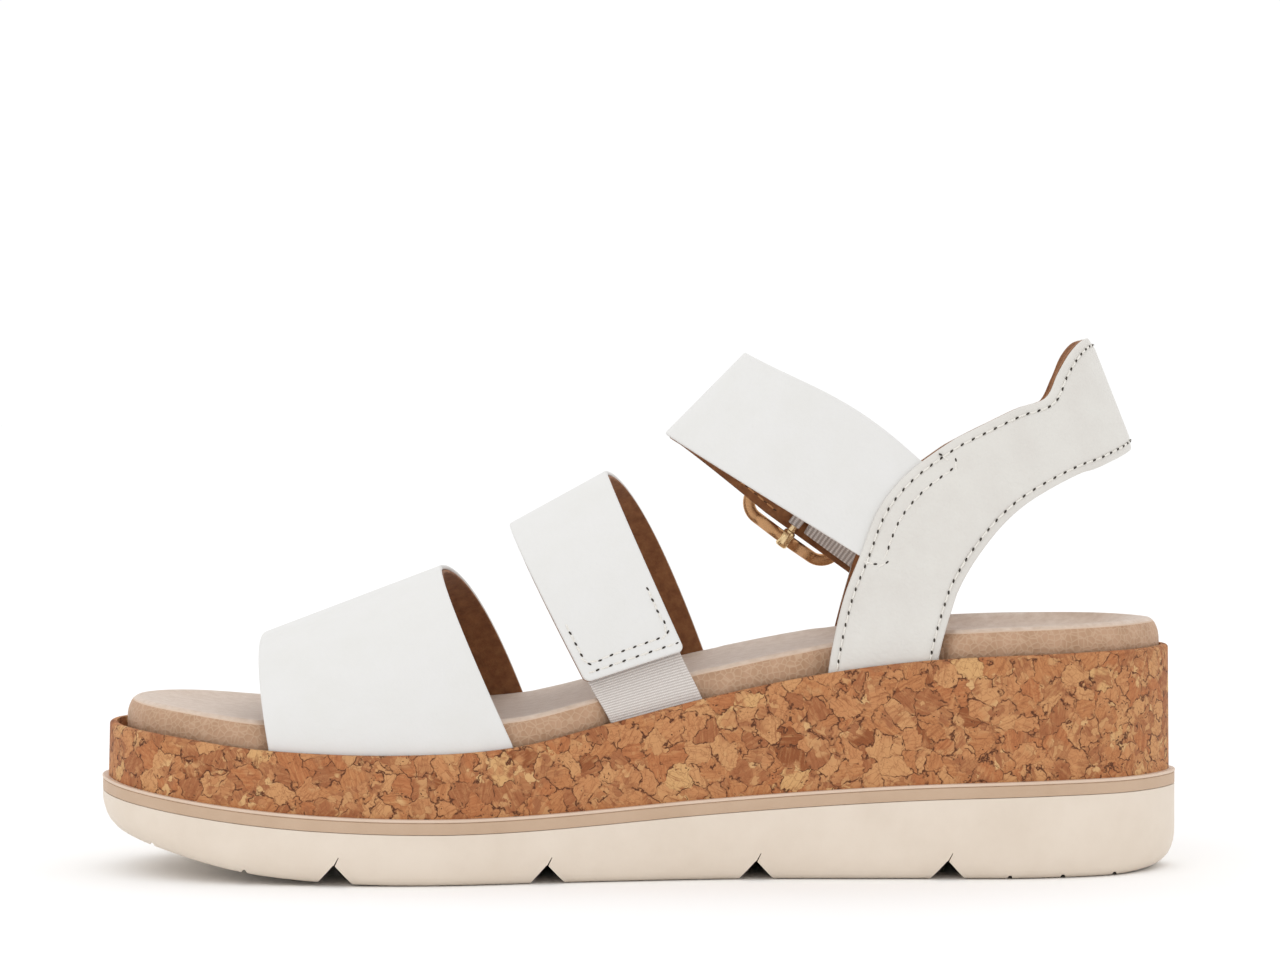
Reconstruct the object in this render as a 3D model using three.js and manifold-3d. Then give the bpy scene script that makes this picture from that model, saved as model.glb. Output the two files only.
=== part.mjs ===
// A three-strap wedge sandal for the right foot: a notched rubber outsole, a welt band, a cork-wrapped
// platform, a covered footbed and leather straps, with a centre-bar buckle on the outer ankle.
// Millimetres. The toe points to -X and the heel to +X. The inner (medial) side is -Y, the outer (lateral)
// side is +Y, and the sole stands on Z = 0, with the origin below the middle of the sole.
import * as THREE from 'three';
import { mergeVertices } from 'three/addons/utils/BufferGeometryUtils.js';
import Module from 'manifold-3d';

const wasm = await Module();
wasm.setup();
const { lerp, smoothstep } = THREE.MathUtils;
const MEDIAL = -1;
const LATERAL = 1;

// ---- Driving dimensions ----
const soleLength = 258;
const ballWidth = 94;
const glueLine = 0.3; // gap that stands for a cemented joint
const slotRoom = 0.5; // gap round a strap end in its slot

const bandThickness = 3.5;
const corkInset = 1.4; // how far the cork stands in from the welt band
const corkThickness = 1.7;
const corkEdgeRound = 0.7;
const coreDrop = 5; // top of the platform core below the cork's top edge
const boardThickness = 1.8;
const footbedInset = 4.9; // side of the footbed, in from the welt band
const footbedBack = 1; // the footbed sits this far towards the heel
const footbedRise = 6.5; // rim of the footbed above the cork's top edge
const coverThickness = 1.1;

const leather = 1.2;
const lining = 0.75;
const bond = 0.15; // gap between leather and lining
const strapThickness = leather + bond + lining;
const tuck = 5; // strap end below the cork's top edge
const quarterCore = 1.0; // padding inside the heel strap
const quarterFill = quarterCore + 0.6;
const skived = 0.7; // strap end pared down to go inside the heel strap
const elasticThickness = 0.8;

const frameLength = 28.6; // along the strap
const frameWidth = 34.6; // across the strap
const frameBar = 3;
const frameThickness = 1.8;
const frameCorner = 6;
const barRadius = 1.0;
const loopRoom = 0.15; // radial gap round the centre bar
const tiltRoom = 0.85; // gap between the strap and the frame's ends

const along = (share) => share * soleLength;

// ---- Heights along the length ----
// A smooth curve through a few [share of the length, height] points.
function profile(points) {
  const slope = (i) => {
    const before = points[Math.max(i - 1, 0)];
    const after = points[Math.min(i + 1, points.length - 1)];
    return (after[1] - before[1]) / (after[0] - before[0]);
  };
  return (x) => {
    const share = x / soleLength;
    const next = points.findIndex((p) => p[0] > share);
    if (next === 0) return points[0][1];
    if (next < 0) return points.at(-1)[1];
    const [x0, z0] = points[next - 1];
    const [x1, z1] = points[next];
    const span = x1 - x0;
    const t = (share - x0) / span;
    return z0 * (1 + 2 * t) * (1 - t) ** 2 + z1 * t * t * (3 - 2 * t)
      + slope(next - 1) * span * t * (1 - t) ** 2 - slope(next) * span * t * t * (1 - t);
  };
}

const tread = profile([[-0.5, 12], [-0.44, 7.7], [-0.36, 2.9], [-0.28, 0.7], [-0.2, 0], [0, 0],
  [0.43, 0], [0.47, 0.6], [0.5, 2.2]]);
const ground = (x) => Math.max(0, tread(x));
const bandBottom = profile([[-0.5, 19.4], [-0.4, 15.7], [-0.3, 13.2], [-0.18, 12.2], [-0.08, 12.9],
  [0.06, 15.6], [0.23, 18.5], [0.36, 19.6], [0.5, 20]]);
const bandTop = (x) => bandBottom(x) + bandThickness;
const corkTop = profile([[-0.5, 35.8], [-0.434, 34.3], [-0.337, 31.4], [-0.217, 30.4], [-0.112, 31.9],
  [-0.027, 37], [0.062, 42.7], [0.174, 48.5], [0.275, 51.6], [0.41, 53], [0.5, 53.4]]);
const coreTop = (x) => corkTop(x) - coreDrop;
const boardTop = (x) => coreTop(x) + glueLine + boardThickness;
const rimTop = (x) => corkTop(x) + footbedRise;
const heelSeat = corkTop(along(0.41)); // height that the heel strap's pattern is drawn from

// ---- Plan outline of the sole ----
// [share of the length, share of the ball width], from the toe tip along the medial side and back.
const planPoints = [[-0.496, -0.085], [-0.465, -0.298], [-0.388, -0.436], [-0.271, -0.495], [-0.174, -0.492],
  [-0.039, -0.41], [0.097, -0.35], [0.233, -0.346], [0.368, -0.335], [0.4535, -0.234], [0.5, 0.0],
  [0.457, 0.223], [0.368, 0.351], [0.233, 0.394], [0.0775, 0.447], [-0.097, 0.5], [-0.233, 0.505],
  [-0.349, 0.447], [-0.434, 0.319], [-0.4845, 0.128]];
const planSamples = 400;
const planCurve = new THREE.CatmullRomCurve3(
  planPoints.map(([u, v]) => new THREE.Vector3(u * soleLength, v * ballWidth, 0)), true, 'centripetal')
  .getPoints(planSamples)
  .slice(0, planSamples);

// The outline pulled in by `inset`: its ends, and each side's y at a given x.
const outlines = new Map();
function outline(inset) {
  if (outlines.has(inset)) return outlines.get(inset);
  const at = (i) => planCurve[(i + planSamples) % planSamples];
  const pulled = planCurve.map((p, i) => {
    const run = at(i + 1).clone().sub(at(i - 1)).normalize();
    return new THREE.Vector2(p.x - run.y * inset, p.y + run.x * inset);
  });
  const xs = pulled.map((p) => p.x);
  const toe = xs.indexOf(Math.min(...xs));
  const heel = xs.indexOf(Math.max(...xs));
  const walk = (from, to) => {
    const side = [];
    for (let i = from; i % planSamples !== to; i += 1) side.push(pulled[i % planSamples]);
    side.push(pulled[to]);
    return side.sort((a, b) => a.x - b.x);
  };
  const reader = (side) => (x) => {
    const next = Math.max(1, side.findIndex((p) => p.x >= x));
    const a = side[next - 1];
    const b = side[next];
    return lerp(a.y, b.y, (x - a.x) / Math.max(b.x - a.x, 1e-6));
  };
  const made = {
    toe: xs[toe],
    heel: xs[heel],
    [MEDIAL]: reader(walk(toe, heel)),
    [LATERAL]: reader(walk(heel, toe)),
  };
  outlines.set(inset, made);
  return made;
}

// ---- Mesh tools ----
// Quads and triangles given as lists of points become one geometry.
function geometryOf(faces) {
  const corners = [];
  faces.forEach((face) => {
    for (let i = 1; i + 1 < face.length; i += 1) corners.push(face[0], face[i], face[i + 1]);
  });
  return new THREE.BufferGeometry().setFromPoints(corners);
}

function solidOf(geometry) {
  const bare = geometry.index ? geometry.toNonIndexed() : geometry.clone();
  bare.deleteAttribute('normal');
  bare.deleteAttribute('uv');
  const merged = mergeVertices(bare, 1e-4);
  return new wasm.Manifold(new wasm.Mesh({
    numProp: 3,
    vertProperties: merged.attributes.position.array,
    triVerts: new Uint32Array(merged.index.array),
  }));
}

function geometryFrom(solid) {
  const mesh = solid.getMesh();
  const geometry = new THREE.BufferGeometry();
  geometry.setAttribute('position', new THREE.BufferAttribute(new Float32Array(mesh.vertProperties), 3));
  geometry.setIndex(new THREE.BufferAttribute(new Uint32Array(mesh.triVerts), 1));
  return geometry;
}

// geometry minus every cutter
const cut = (geometry, ...cutters) => geometryFrom(
  cutters.reduce((solid, cutter) => solid.subtract(solidOf(cutter)), solidOf(geometry)));

const join = (...geometries) => geometryFrom(
  geometries.map(solidOf).reduce((solid, next) => solid.add(next)));

// ---- Layers of the sole ----
const stations = 34;
const tipFlat = 0.25; // how far in from each end the first station lies, so that it has some width

// One closed line round the sole: the outline at an inset, at a height that may change along the length.
function ring(inset, height, shift = 0) {
  const line = outline(inset);
  return Array.from({ length: stations + 1 }, (_, i) => {
    const share = (1 - Math.cos((Math.PI * i) / stations)) / 2;
    const x = lerp(line.toe + tipFlat, line.heel - tipFlat, share);
    return { x: x + shift, medial: line[MEDIAL](x), lateral: line[LATERAL](x), z: height(x + shift) };
  });
}

// A solid through rings from bottom to top. dip(x, across) sinks the top face between its edges.
function stack(rings, columns = 1, dip = () => 0) {
  const loops = rings.map((r) => [
    ...r.map((s) => new THREE.Vector3(s.x, s.medial, s.z)),
    ...[...r].reverse().map((s) => new THREE.Vector3(s.x, s.lateral, s.z)),
  ]);
  const across = (s, f) => new THREE.Vector3(s.x, lerp(s.medial, s.lateral, f), s.z - dip(s.x, f));
  // Points of the top face's end edge, between its two corners.
  const endEdge = (i) => {
    const station = rings.at(-1)[i];
    const shares = Array.from({ length: columns - 1 }, (_, c) => (c + 1) / columns);
    return (i === 0 ? shares : shares.reverse()).map((f) => across(station, f));
  };
  const faces = [];
  for (let level = 0; level + 1 < loops.length; level += 1) {
    loops[level].forEach((point, i) => {
      const next = (i + 1) % loops[level].length;
      const face = [point, loops[level][next], loops[level + 1][next]];
      if (level + 2 === loops.length && i === stations) face.push(...endEdge(stations));
      if (level + 2 === loops.length && next === 0) face.push(...endEdge(0));
      faces.push([...face, loops[level + 1][i]]);
    });
  }
  const bottom = rings[0];
  const top = rings.at(-1);
  for (let i = 0; i < stations; i += 1) {
    const [a, b] = [bottom[i], bottom[i + 1]];
    faces.push([new THREE.Vector3(a.x, a.medial, a.z), new THREE.Vector3(a.x, a.lateral, a.z),
      new THREE.Vector3(b.x, b.lateral, b.z), new THREE.Vector3(b.x, b.medial, b.z)]);
    for (let c = 0; c < columns; c += 1) {
      faces.push([across(top[i], c / columns), across(top[i + 1], c / columns),
        across(top[i + 1], (c + 1) / columns), across(top[i], (c + 1) / columns)]);
    }
  }
  return geometryOf(faces);
}

const above = (height, amount) => (x) => height(x) + amount;

// A V groove right across the tread.
function treadGroove(x, width, depth) {
  const below = 1;
  const shape = new THREE.Shape();
  shape.moveTo(-width / 2 - below, -below);
  shape.lineTo(width / 2 + below, -below);
  shape.lineTo(0.3, depth);
  shape.lineTo(-0.3, depth);
  const groove = new THREE.ExtrudeGeometry(shape, { depth: 2 * ballWidth, bevelEnabled: false });
  groove.translate(0, 0, -ballWidth).rotateX(Math.PI / 2);
  return groove.translate(x, 0, ground(x));
}

const grooves = [-0.273, -0.082, 0.107, 0.281].map((share) => treadGroove(along(share), 8.3, 4.4));
const sipes = [-0.442, -0.355, 0.338, 0.387, 0.436].map((share) => treadGroove(along(share), 1.6, 0.9));

function outsole() {
  const body = stack([
    ring(4, ground),
    ring(1.5, above(ground, 1.3)),
    ring(0.3, above(ground, 4)),
    ring(0, (x) => Math.min(ground(x) + 7, bandBottom(x) - 2)),
    ring(0, above(bandBottom, -glueLine)),
  ]);
  return cut(body, ...grooves, ...sipes);
}

const weltBand = () => stack([ring(0, bandBottom), ring(0, above(bandTop, -0.4)), ring(0.4, bandTop)]);

function corkWrap() {
  const outer = stack([
    ring(corkInset, above(bandTop, glueLine)),
    ring(corkInset + 0.3, above(corkTop, -2 * corkEdgeRound)),
    ring(corkInset + 0.3 + corkEdgeRound, corkTop),
  ]);
  const inside = corkInset + 0.3 + corkThickness;
  return cut(outer, stack([ring(inside, above(bandTop, -1)), ring(inside, above(corkTop, 1))]));
}

const coreInset = corkInset + 0.3 + corkThickness + glueLine;
const strapInset = coreInset + 0.05;

const platformCore = () => stack([ring(coreInset, above(bandTop, glueLine)), ring(coreInset, coreTop)]);

const insoleBoard = () => stack([ring(coreInset, above(coreTop, glueLine)), ring(coreInset, boardTop)]);

// The footbed's shape, shrunk by `skin` on the sides and top, standing `lift` above the board.
function footbedBody(skin, lift) {
  const heelCup = (x) => lerp(1.2, 3.6, smoothstep(x, along(0.05), along(0.35)))
    * (1 - smoothstep(Math.abs(x), along(0.42), along(0.47)));
  const level = (inset, height) => ring(footbedInset + skin + inset, height, footbedBack);
  return stack([
    level(0, above(boardTop, lift)),
    level(0.2, above(corkTop, 2 - skin)),
    level(1, above(rimTop, -1.3 - skin)),
    level(2.2, above(rimTop, -skin)),
  ], 4, (x, f) => heelCup(x) * (1 - (2 * f - 1) ** 4));
}

const footbedCover = () => cut(footbedBody(0, glueLine), footbedBody(coverThickness, -1));
const footbedFoam = () => footbedBody(coverThickness + 1.5 * glueLine, glueLine);

// ---- Straps ----
// Each strap is a surface point(t, w): t runs from the medial end over the foot to the lateral end, 0 to 1 and
// beyond for the hidden ends, and w runs from the front edge, 0, to the rear edge, 1.
const HIDDEN = 100; // millimetres per unit of t beyond an end

function gridOf(point, ts, columns, margin = 0) {
  return ts.map((t) => {
    const width = point(t, 0).distanceTo(point(t, 1));
    return Array.from({ length: columns + 1 }, (_, j) => {
      const w = lerp(-margin / width, 1 + margin / width, j / columns);
      return point(t, w);
    });
  });
}

// The sheet between two depths under a surface. A depth is a number or a function of the row's t.
function sheet(point, ts, columns, from, to, margin = 0) {
  const grid = gridOf(point, ts, columns, margin);
  const rows = grid.length - 1;
  const depth = (value, i) => (typeof value === 'function' ? value(ts[i]) : value);
  const normal = (i, j) => {
    const run = grid[Math.min(i + 1, rows)][j].clone().sub(grid[Math.max(i - 1, 0)][j]);
    const side = grid[i][Math.min(j + 1, columns)].clone().sub(grid[i][Math.max(j - 1, 0)]);
    return side.cross(run).normalize();
  };
  const face = (value) => grid.map((row, i) => row.map((p, j) =>
    p.clone().addScaledVector(normal(i, j), -depth(value, i))));
  const outer = face(from);
  const inner = face(to);
  const faces = [];
  for (let i = 0; i < rows; i += 1) {
    for (let j = 0; j < columns; j += 1) {
      faces.push([outer[i][j], outer[i][j + 1], outer[i + 1][j + 1]]);
      faces.push([outer[i][j], outer[i + 1][j + 1], outer[i + 1][j]]);
      faces.push([inner[i][j], inner[i + 1][j + 1], inner[i][j + 1]]);
      faces.push([inner[i][j], inner[i + 1][j], inner[i + 1][j + 1]]);
    }
    faces.push([outer[i][0], outer[i + 1][0], inner[i + 1][0], inner[i][0]]);
    faces.push([outer[i + 1][columns], outer[i][columns], inner[i][columns], inner[i + 1][columns]]);
  }
  for (let j = 0; j < columns; j += 1) {
    faces.push([outer[0][j + 1], outer[0][j], inner[0][j], inner[0][j + 1]]);
    faces.push([outer[rows][j], outer[rows][j + 1], inner[rows][j + 1], inner[rows][j]]);
  }
  return geometryOf(faces);
}

const steps = (from, to, count) => Array.from({ length: count + 1 }, (_, i) => lerp(from, to, i / count));

// The rows of a strap that is tucked into the sole at both ends.
const tucked = (from, to, count) => [from, ...steps(0, 1, count), to];

// Where a strap edge meets the sole: on the slot's outer wall, level with the cork's top edge.
function foot(side, share) {
  const x = along(share);
  return new THREE.Vector3(x, outline(strapInset)[side](x), corkTop(x));
}

function crestPoint([share, rise]) {
  const x = along(share);
  return new THREE.Vector3(x, -3, corkTop(x) + rise);
}

const lateralBelly = 0.7; // below 1, the lateral half of a strap bulges back in side view

// A strap edge that rises from each foot to the crest as a quarter of a superellipse.
function archEdge(medialFoot, crest, lateralFoot, fullness) {
  return (t) => {
    const end = t < 0.5 ? medialFoot : lateralFoot;
    const angle = Math.min(Math.abs(t - 0.5), 0.5) * Math.PI;
    const down = 1 - Math.max(Math.cos(angle), 0) ** (2 / fullness);
    const out = Math.sin(angle) ** (2 / fullness);
    const buried = HIDDEN * Math.max(-t, t - 1, 0);
    return new THREE.Vector3(lerp(crest.x, end.x, t < 0.5 ? down : down ** lateralBelly),
      lerp(crest.y, end.y, out), lerp(crest.z, end.z, down) - buried);
  };
}

// Between its edges a strap's feet follow the outline and its crest runs straight.
function archStrap({ medial, lateral, crest, fullness }) {
  const front = crestPoint(crest[0]);
  const rear = crestPoint(crest[1]);
  return (t, w) => archEdge(foot(MEDIAL, lerp(...medial, w)), front.clone().lerp(rear, w),
    foot(LATERAL, lerp(...lateral, w)), fullness)(t);
}

// medial and lateral: where the front and rear edges enter the sole. crest: [share, rise over the cork's top].
const toeStrap = archStrap({
  medial: [-0.333, -0.112],
  lateral: [-0.31, -0.103],
  crest: [[-0.349, 24.4], [-0.183, 41.8]],
  fullness: 2.3,
});
const midStrap = archStrap({
  medial: [-0.028, 0.062],
  lateral: [-0.028, 0.071],
  crest: [[-0.12, 50.6], [-0.03, 58.2]],
  fullness: 2.2,
});
const midLeatherEnd = 0.058; // medial end of the middle strap's leather, above its elastic

const buriedEnd = tuck / HIDDEN;
// The slot that a buried strap end needs, from just under its tip to above the footbed's rim.
const slotFor = (strap, rows, from, to) => sheet(strap, rows, 4, from - slotRoom, to + slotRoom, slotRoom);
const medialRows = [-buriedEnd - slotRoom / HIDDEN, 0, 0.03, 0.06, 0.1];
const lateralRows = [0.9, 0.94, 0.97, 1, 1 + buriedEnd + slotRoom / HIDDEN];

const elasticDepth = (t) => lerp(0.2, strapThickness + 2 * bond, smoothstep(t, 0.005, midLeatherEnd - 0.01));

// ---- Heel form and heel strap ----
// The heel strap's pattern is drawn flat in [s, h]: s goes back from where the sides start to curve in, and
// h goes up from the heel seat. quarterTurn is s at the middle of the back.
const formStart = along(0.29);
const quarterTurn = 55;
const formReach = (h) => Math.min(46, 44 - 0.396 * (h - 47.5));
const formHalf = (side, x, h) => lerp(
  Math.abs(outline(strapInset)[side](Math.min(x, formStart))), 28 - 0.045 * h, smoothstep(h, -2, 18));

function formPoint(side, s, h) {
  const angle = (Math.max(s, 0) / quarterTurn) * (Math.PI / 2);
  const x = formStart + (s > 0 ? formReach(h) * Math.sin(angle) : s);
  return new THREE.Vector3(x, side * formHalf(side, x, h) * Math.cos(angle), heelSeat + h);
}

// y of the form's surface at x and z.
function formY(side, x, z) {
  const h = z - heelSeat;
  const bend = Math.max(0, x - formStart) / formReach(h);
  return side * formHalf(side, x, h) * Math.sqrt(Math.max(0, 1 - bend * bend));
}

// A smooth line through pattern points, read from 0 to 1.
function patternLine(points) {
  const curve = new THREE.CatmullRomCurve3(points.map(([s, h]) => new THREE.Vector3(s, h, 0)));
  return (k) => curve.getPoint(k);
}

const collarLine = [[-4.5, 47.6], [5, 53.4], [13, 57.4], [20.6, 59.9], [26.3, 65.8], [33, 70.4], [42, 73.3],
  [55, 74]];
const lateralCollarLine = [[-3.2, 45.2], [6, 51.2], [14, 55.2], [22, 58], [28, 64.2], [34, 69.6], [42, 73],
  [55, 74]];
const bottomLine = [[12.7, 34.6], [18.5, 38.7], [25.2, 42], [30, 43.3], [35, 44.7], [40, 45.8], [46, 46.8],
  [55, 47.5]];
const patterns = {
  [MEDIAL]: {
    front: patternLine([[-30.2, -4 - tuck], [-30.2, -4], [-26.7, 12.6], [-22.7, 23], [-18.5, 33.6], [-12.7, 41.1],
      ...collarLine]),
    rear: patternLine([[-4.3, -1.4 - tuck], [-4.3, -1.4], [-1.2, 10.3], [1.6, 18], [4.8, 24.3], [8.5, 30],
      ...bottomLine]),
  },
  [LATERAL]: {
    front: patternLine([[-27.2, -4 - tuck], [-27.2, -4], [-24, 12.6], [-20.5, 23], [-16.3, 32], [-10.8, 39.2],
      ...lateralCollarLine]),
    rear: patternLine([[-4.3, -1.4 - tuck], [-4.3, -1.4], [-1.2, 10.3], [1.6, 18], [4.8, 24.3], [8.5, 30],
      ...bottomLine]),
  },
};

function heelStrap(t, w) {
  const side = t < 0.5 ? MEDIAL : LATERAL;
  const k = 2 * (t < 0.5 ? t : 1 - t);
  const spot = patterns[side].front(k).lerp(patterns[side].rear(k), w);
  return formPoint(side, spot.x, spot.y);
}
const heelRows = steps(0, 1, 40);
const heelTotal = leather + quarterFill + lining;
const legRows = (rows) => rows.map((t) => Math.min(Math.max(t, 0.0001), 0.9999));

// A heel strap leg's slot: its outline in plan, carried straight down past the leg's tip.
function legSlot(side) {
  const rows = side === MEDIAL ? legRows(steps(0, 0.14, 7)) : legRows(steps(0.86, 1, 7));
  const slot = slotFor(heelStrap, rows, 0, heelTotal);
  return join(slot, slot.clone().translate(0, 0, -slotRoom));
}

// ---- Instep strap ----
// Both edges run straight in side view, down and back from the crest. The medial end goes inside the heel
// strap, and the lateral end passes through the buckle and lies on the outside of the heel strap.
const crestFront = crestPoint([0.0248, 63.6]);
const crestRear = crestPoint([0.0992, 78.6]);
const medialRun = new THREE.Vector3(0.85, 0, -0.527);
const lateralRun = new THREE.Vector3(0.81, 0, -0.586);
const lateralHang = new THREE.Vector3(-1.17, 0, -1.62); // how far the lateral end hangs below its straight run
const medialReach = 51; // crest to the heel strap's edge
const lateralReach = 30; // crest to where the strap runs flat
const barReach = 7.5; // from there to the buckle's centre bar
const tailReach = 41.5; // centre bar to the strap's tip
const insertReach = 8; // medial end inside the heel strap
const insertDepth = leather + (quarterFill - skived) / 2;
const overlap = strapThickness + 0.8; // the strap's outer face over the heel strap's outer face
const flatReach = 26; // length of the flat run
const rearBelly = 2.6; // rise of the medial rear edge above a straight line

const flatStart = 29.3; // y of the flat run's outer face where it leaves the arch
const flatSlope = 0.05;

function onForm(side, x, z, raise) {
  return new THREE.Vector3(x, formY(side, x, z) + side * raise, z);
}

// An edge of the strap. Its ends are square to their runs, and its flat run blends onto the heel strap.
function instepEdge(crest, rear) {
  const fullness = 2.2;
  const square = (run) => crestRear.clone().sub(crestFront).dot(run) * (rear ? -0.5 : 0.5);
  return (t) => {
    const medial = t < 0.5;
    const [side, run, raise] = medial ? [MEDIAL, medialRun, -insertDepth] : [LATERAL, lateralRun, overlap];
    const reach = (medial ? medialReach : lateralReach) + square(run);
    const extra = HIDDEN * Math.max(-t, t - 1, 0);
    const spot = crest.clone().addScaledVector(run, reach + extra);
    const end = crest.clone().addScaledVector(run, reach);
    if (!medial) {
      spot.add(lateralHang);
      end.add(lateralHang);
    }
    if (extra > 0 && medial) return onForm(side, spot.x, spot.z, raise);
    const flatY = medial ? formY(side, end.x, end.z) + side * raise : flatStart;
    if (extra > 0) {
      const resting = onForm(side, spot.x, spot.z, raise);
      resting.y = lerp(flatStart + flatSlope * extra, resting.y, smoothstep(extra, flatReach, flatReach + 10));
      return resting;
    }
    const angle = Math.abs(t - 0.5) * Math.PI;
    const down = 1 - Math.max(Math.cos(angle), 0) ** (2 / fullness);
    const out = Math.sin(angle) ** (2 / fullness);
    const belly = medial && rear ? rearBelly * Math.sin(Math.PI * down ** 1.4) : 0;
    return new THREE.Vector3(lerp(crest.x, end.x, down), lerp(crest.y, flatY, out),
      lerp(crest.z, end.z, down) + belly);
  };
}
const instepFront = instepEdge(crestFront, false);
const instepRear = instepEdge(crestRear, true);
const instepStrap = (t, w) => instepFront(t).lerp(instepRear(t), w);
const liningStart = 0.022;
const instepRows = [-insertReach / HIDDEN, 0, 0.018, 0.03, ...steps(0.06, 0.94, 22), 0.97, 1,
  ...steps(1.06, 1 + (barReach + tailReach) / HIDDEN, 9)];
const instepLeather = (t) => lerp(skived, leather, smoothstep(t, 0.018, 0.03));

// ---- Buckle ----
// Its own frame: x along the strap to the tail, y across to the strap's lower edge, z out of the strap, with
// the origin on the centre bar.
const barToStrap = 2.3; // centre bar's axis to the strap's inner face
const bowLift = barToStrap + strapThickness + tiltRoom + frameThickness / 2;
const endBar = frameLength / 2 - frameBar / 2;
const bow = (x) => bowLift * smoothstep(Math.abs(x), 1.7, 9);

const buckle = new THREE.Group();
const barAt = 1 + barReach / HIDDEN;
const strapRun = instepStrap(barAt + 0.08, 0.5).sub(instepStrap(barAt - 0.08, 0.5)).normalize();
const strapOut = instepStrap(barAt, 1).sub(instepStrap(barAt, 0)).cross(strapRun).normalize();
const strapDown = strapOut.clone().cross(strapRun);
buckle.quaternion.setFromRotationMatrix(new THREE.Matrix4().makeBasis(strapRun, strapDown, strapOut));
buckle.position.copy(instepStrap(barAt, 0.5)).addScaledVector(strapOut, -(barToStrap + strapThickness));
buckle.updateMatrixWorld(true);
const toWorld = (geometry) => geometry.applyMatrix4(buckle.matrixWorld);

function roundedLoop(length, width, corner, count) {
  const path = new THREE.Path();
  const [x, y] = [length / 2, width / 2];
  path.moveTo(x, 0);
  path.lineTo(x, y - corner);
  path.absarc(x - corner, y - corner, corner, 0, Math.PI / 2);
  path.absarc(corner - x, y - corner, corner, Math.PI / 2, Math.PI);
  path.absarc(corner - x, corner - y, corner, Math.PI, 1.5 * Math.PI);
  path.absarc(x - corner, corner - y, corner, 1.5 * Math.PI, 2 * Math.PI);
  path.lineTo(x, 0);
  return path.getSpacedPoints(count).slice(0, count);
}

// A rounded rectangular ring, bowed so that its ends stand over the strap.
function buckleFrame(grow = 0) {
  const count = 52;
  const outer = roundedLoop(frameLength + 2 * grow, frameWidth + 2 * grow, frameCorner + grow, count);
  const inner = roundedLoop(frameLength - 2 * (frameBar + grow), frameWidth - 2 * (frameBar + grow),
    frameCorner - frameBar - grow, count);
  const half = frameThickness / 2 + grow;
  const lift = (p, z) => new THREE.Vector3(p.x, p.y, z + bow(p.x));
  const faces = [];
  for (let i = 0; i < count; i += 1) {
    const next = (i + 1) % count;
    const [a, b] = [outer[i], outer[next]];
    const [c, d] = [inner[i], inner[next]];
    faces.push([lift(a, -half), lift(b, -half), lift(b, half)], [lift(a, -half), lift(b, half), lift(a, half)]);
    faces.push([lift(a, half), lift(b, half), lift(d, half)], [lift(a, half), lift(d, half), lift(c, half)]);
    faces.push([lift(c, half), lift(d, half), lift(d, -half)], [lift(c, half), lift(d, -half), lift(c, -half)]);
    faces.push([lift(c, -half), lift(d, -half), lift(b, -half)], [lift(c, -half), lift(b, -half), lift(a, -half)]);
  }
  return geometryOf(faces);
}

// The centre bar, with an end crimped round each side of the frame.
function buckleBar() {
  const sideAt = frameWidth / 2 - frameBar / 2;
  const collar = frameBar + 1.6;
  const pin = new THREE.CylinderGeometry(barRadius, barRadius, 2 * sideAt - frameBar, 16);
  const crimps = [-sideAt, sideAt].map((y) =>
    new THREE.BoxGeometry(3.2, collar, frameThickness + 1.6).translate(0, y, 0));
  return cut(join(pin, ...crimps), buckleFrame(0.15));
}

// A flat loop round the bar, `width` wide.
function barLoop(inner, outer, width) {
  const shape = new THREE.Shape().absarc(0, 0, outer, 0, 2 * Math.PI);
  shape.holes.push(new THREE.Path().absarc(0, 0, inner, 0, 2 * Math.PI, true));
  const loop = new THREE.ExtrudeGeometry(shape, { depth: width, bevelEnabled: false, curveSegments: 10 });
  return loop.translate(0, 0, -width / 2).rotateX(Math.PI / 2);
}

const prongWidth = 2.2;
const prongThickness = 0.95;

// A stamped prong: a loop on the bar and an arm that comes up through the strap and rests on the frame's end.
function buckleProng() {
  const rest = bowLift + frameThickness / 2 + 0.3 + prongThickness / 2;
  const line = new THREE.CatmullRomCurve3([[-0.9, 1.3], [-1.6, 2.4], [-2.4, 4.2], [-4.2, 5.9], [-8, rest - 0.5],
    [-endBar, rest], [-endBar - 1.7, rest - 0.1]].map(([x, z]) => new THREE.Vector3(x, 0, z)));
  const arm = (t, w) => line.getPoint(t).setY((w - 0.5) * prongWidth);
  const loop = barLoop(barRadius + loopRoom, barRadius + loopRoom + 0.9, prongWidth);
  return join(loop, sheet(arm, steps(0, 1, 12), 1, -prongThickness / 2, prongThickness / 2));
}

// The hole that the prong passes through, and two spare ones nearer the tip.
const prongHole = 5.2;
const spareHoles = [8.6, 17.6];
const punched = () => [
  new THREE.BoxGeometry(prongHole, prongWidth + 1, 6).translate(0.9 - prongHole / 2, 0, barToStrap + 1),
  ...spareHoles.map((x) => new THREE.CylinderGeometry(1.3, 1.3, 7, 12).rotateX(Math.PI / 2)
    .translate(x, 0, barToStrap + 1)),
].map(toWorld);

// An elastic loop round the bar, whose tail is sewn inside the lateral leg of the heel strap.
const elasticWidth = 24;
const elasticFrom = leather + (quarterFill - elasticThickness) / 2 - 0.1; // its depth in the heel strap
function elasticStrip(t, w) {
  const share = (1 - elasticWidth / instepStrap(t, 0).distanceTo(instepStrap(t, 1))) / 2;
  const p = instepStrap(t, lerp(share, 1 - share, w));
  const settled = smoothstep(t, barAt + 0.02, barAt + 0.1);
  return p.setY(lerp(p.y - overlap, onForm(LATERAL, p.x, p.z, 0).y, settled));
}

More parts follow.
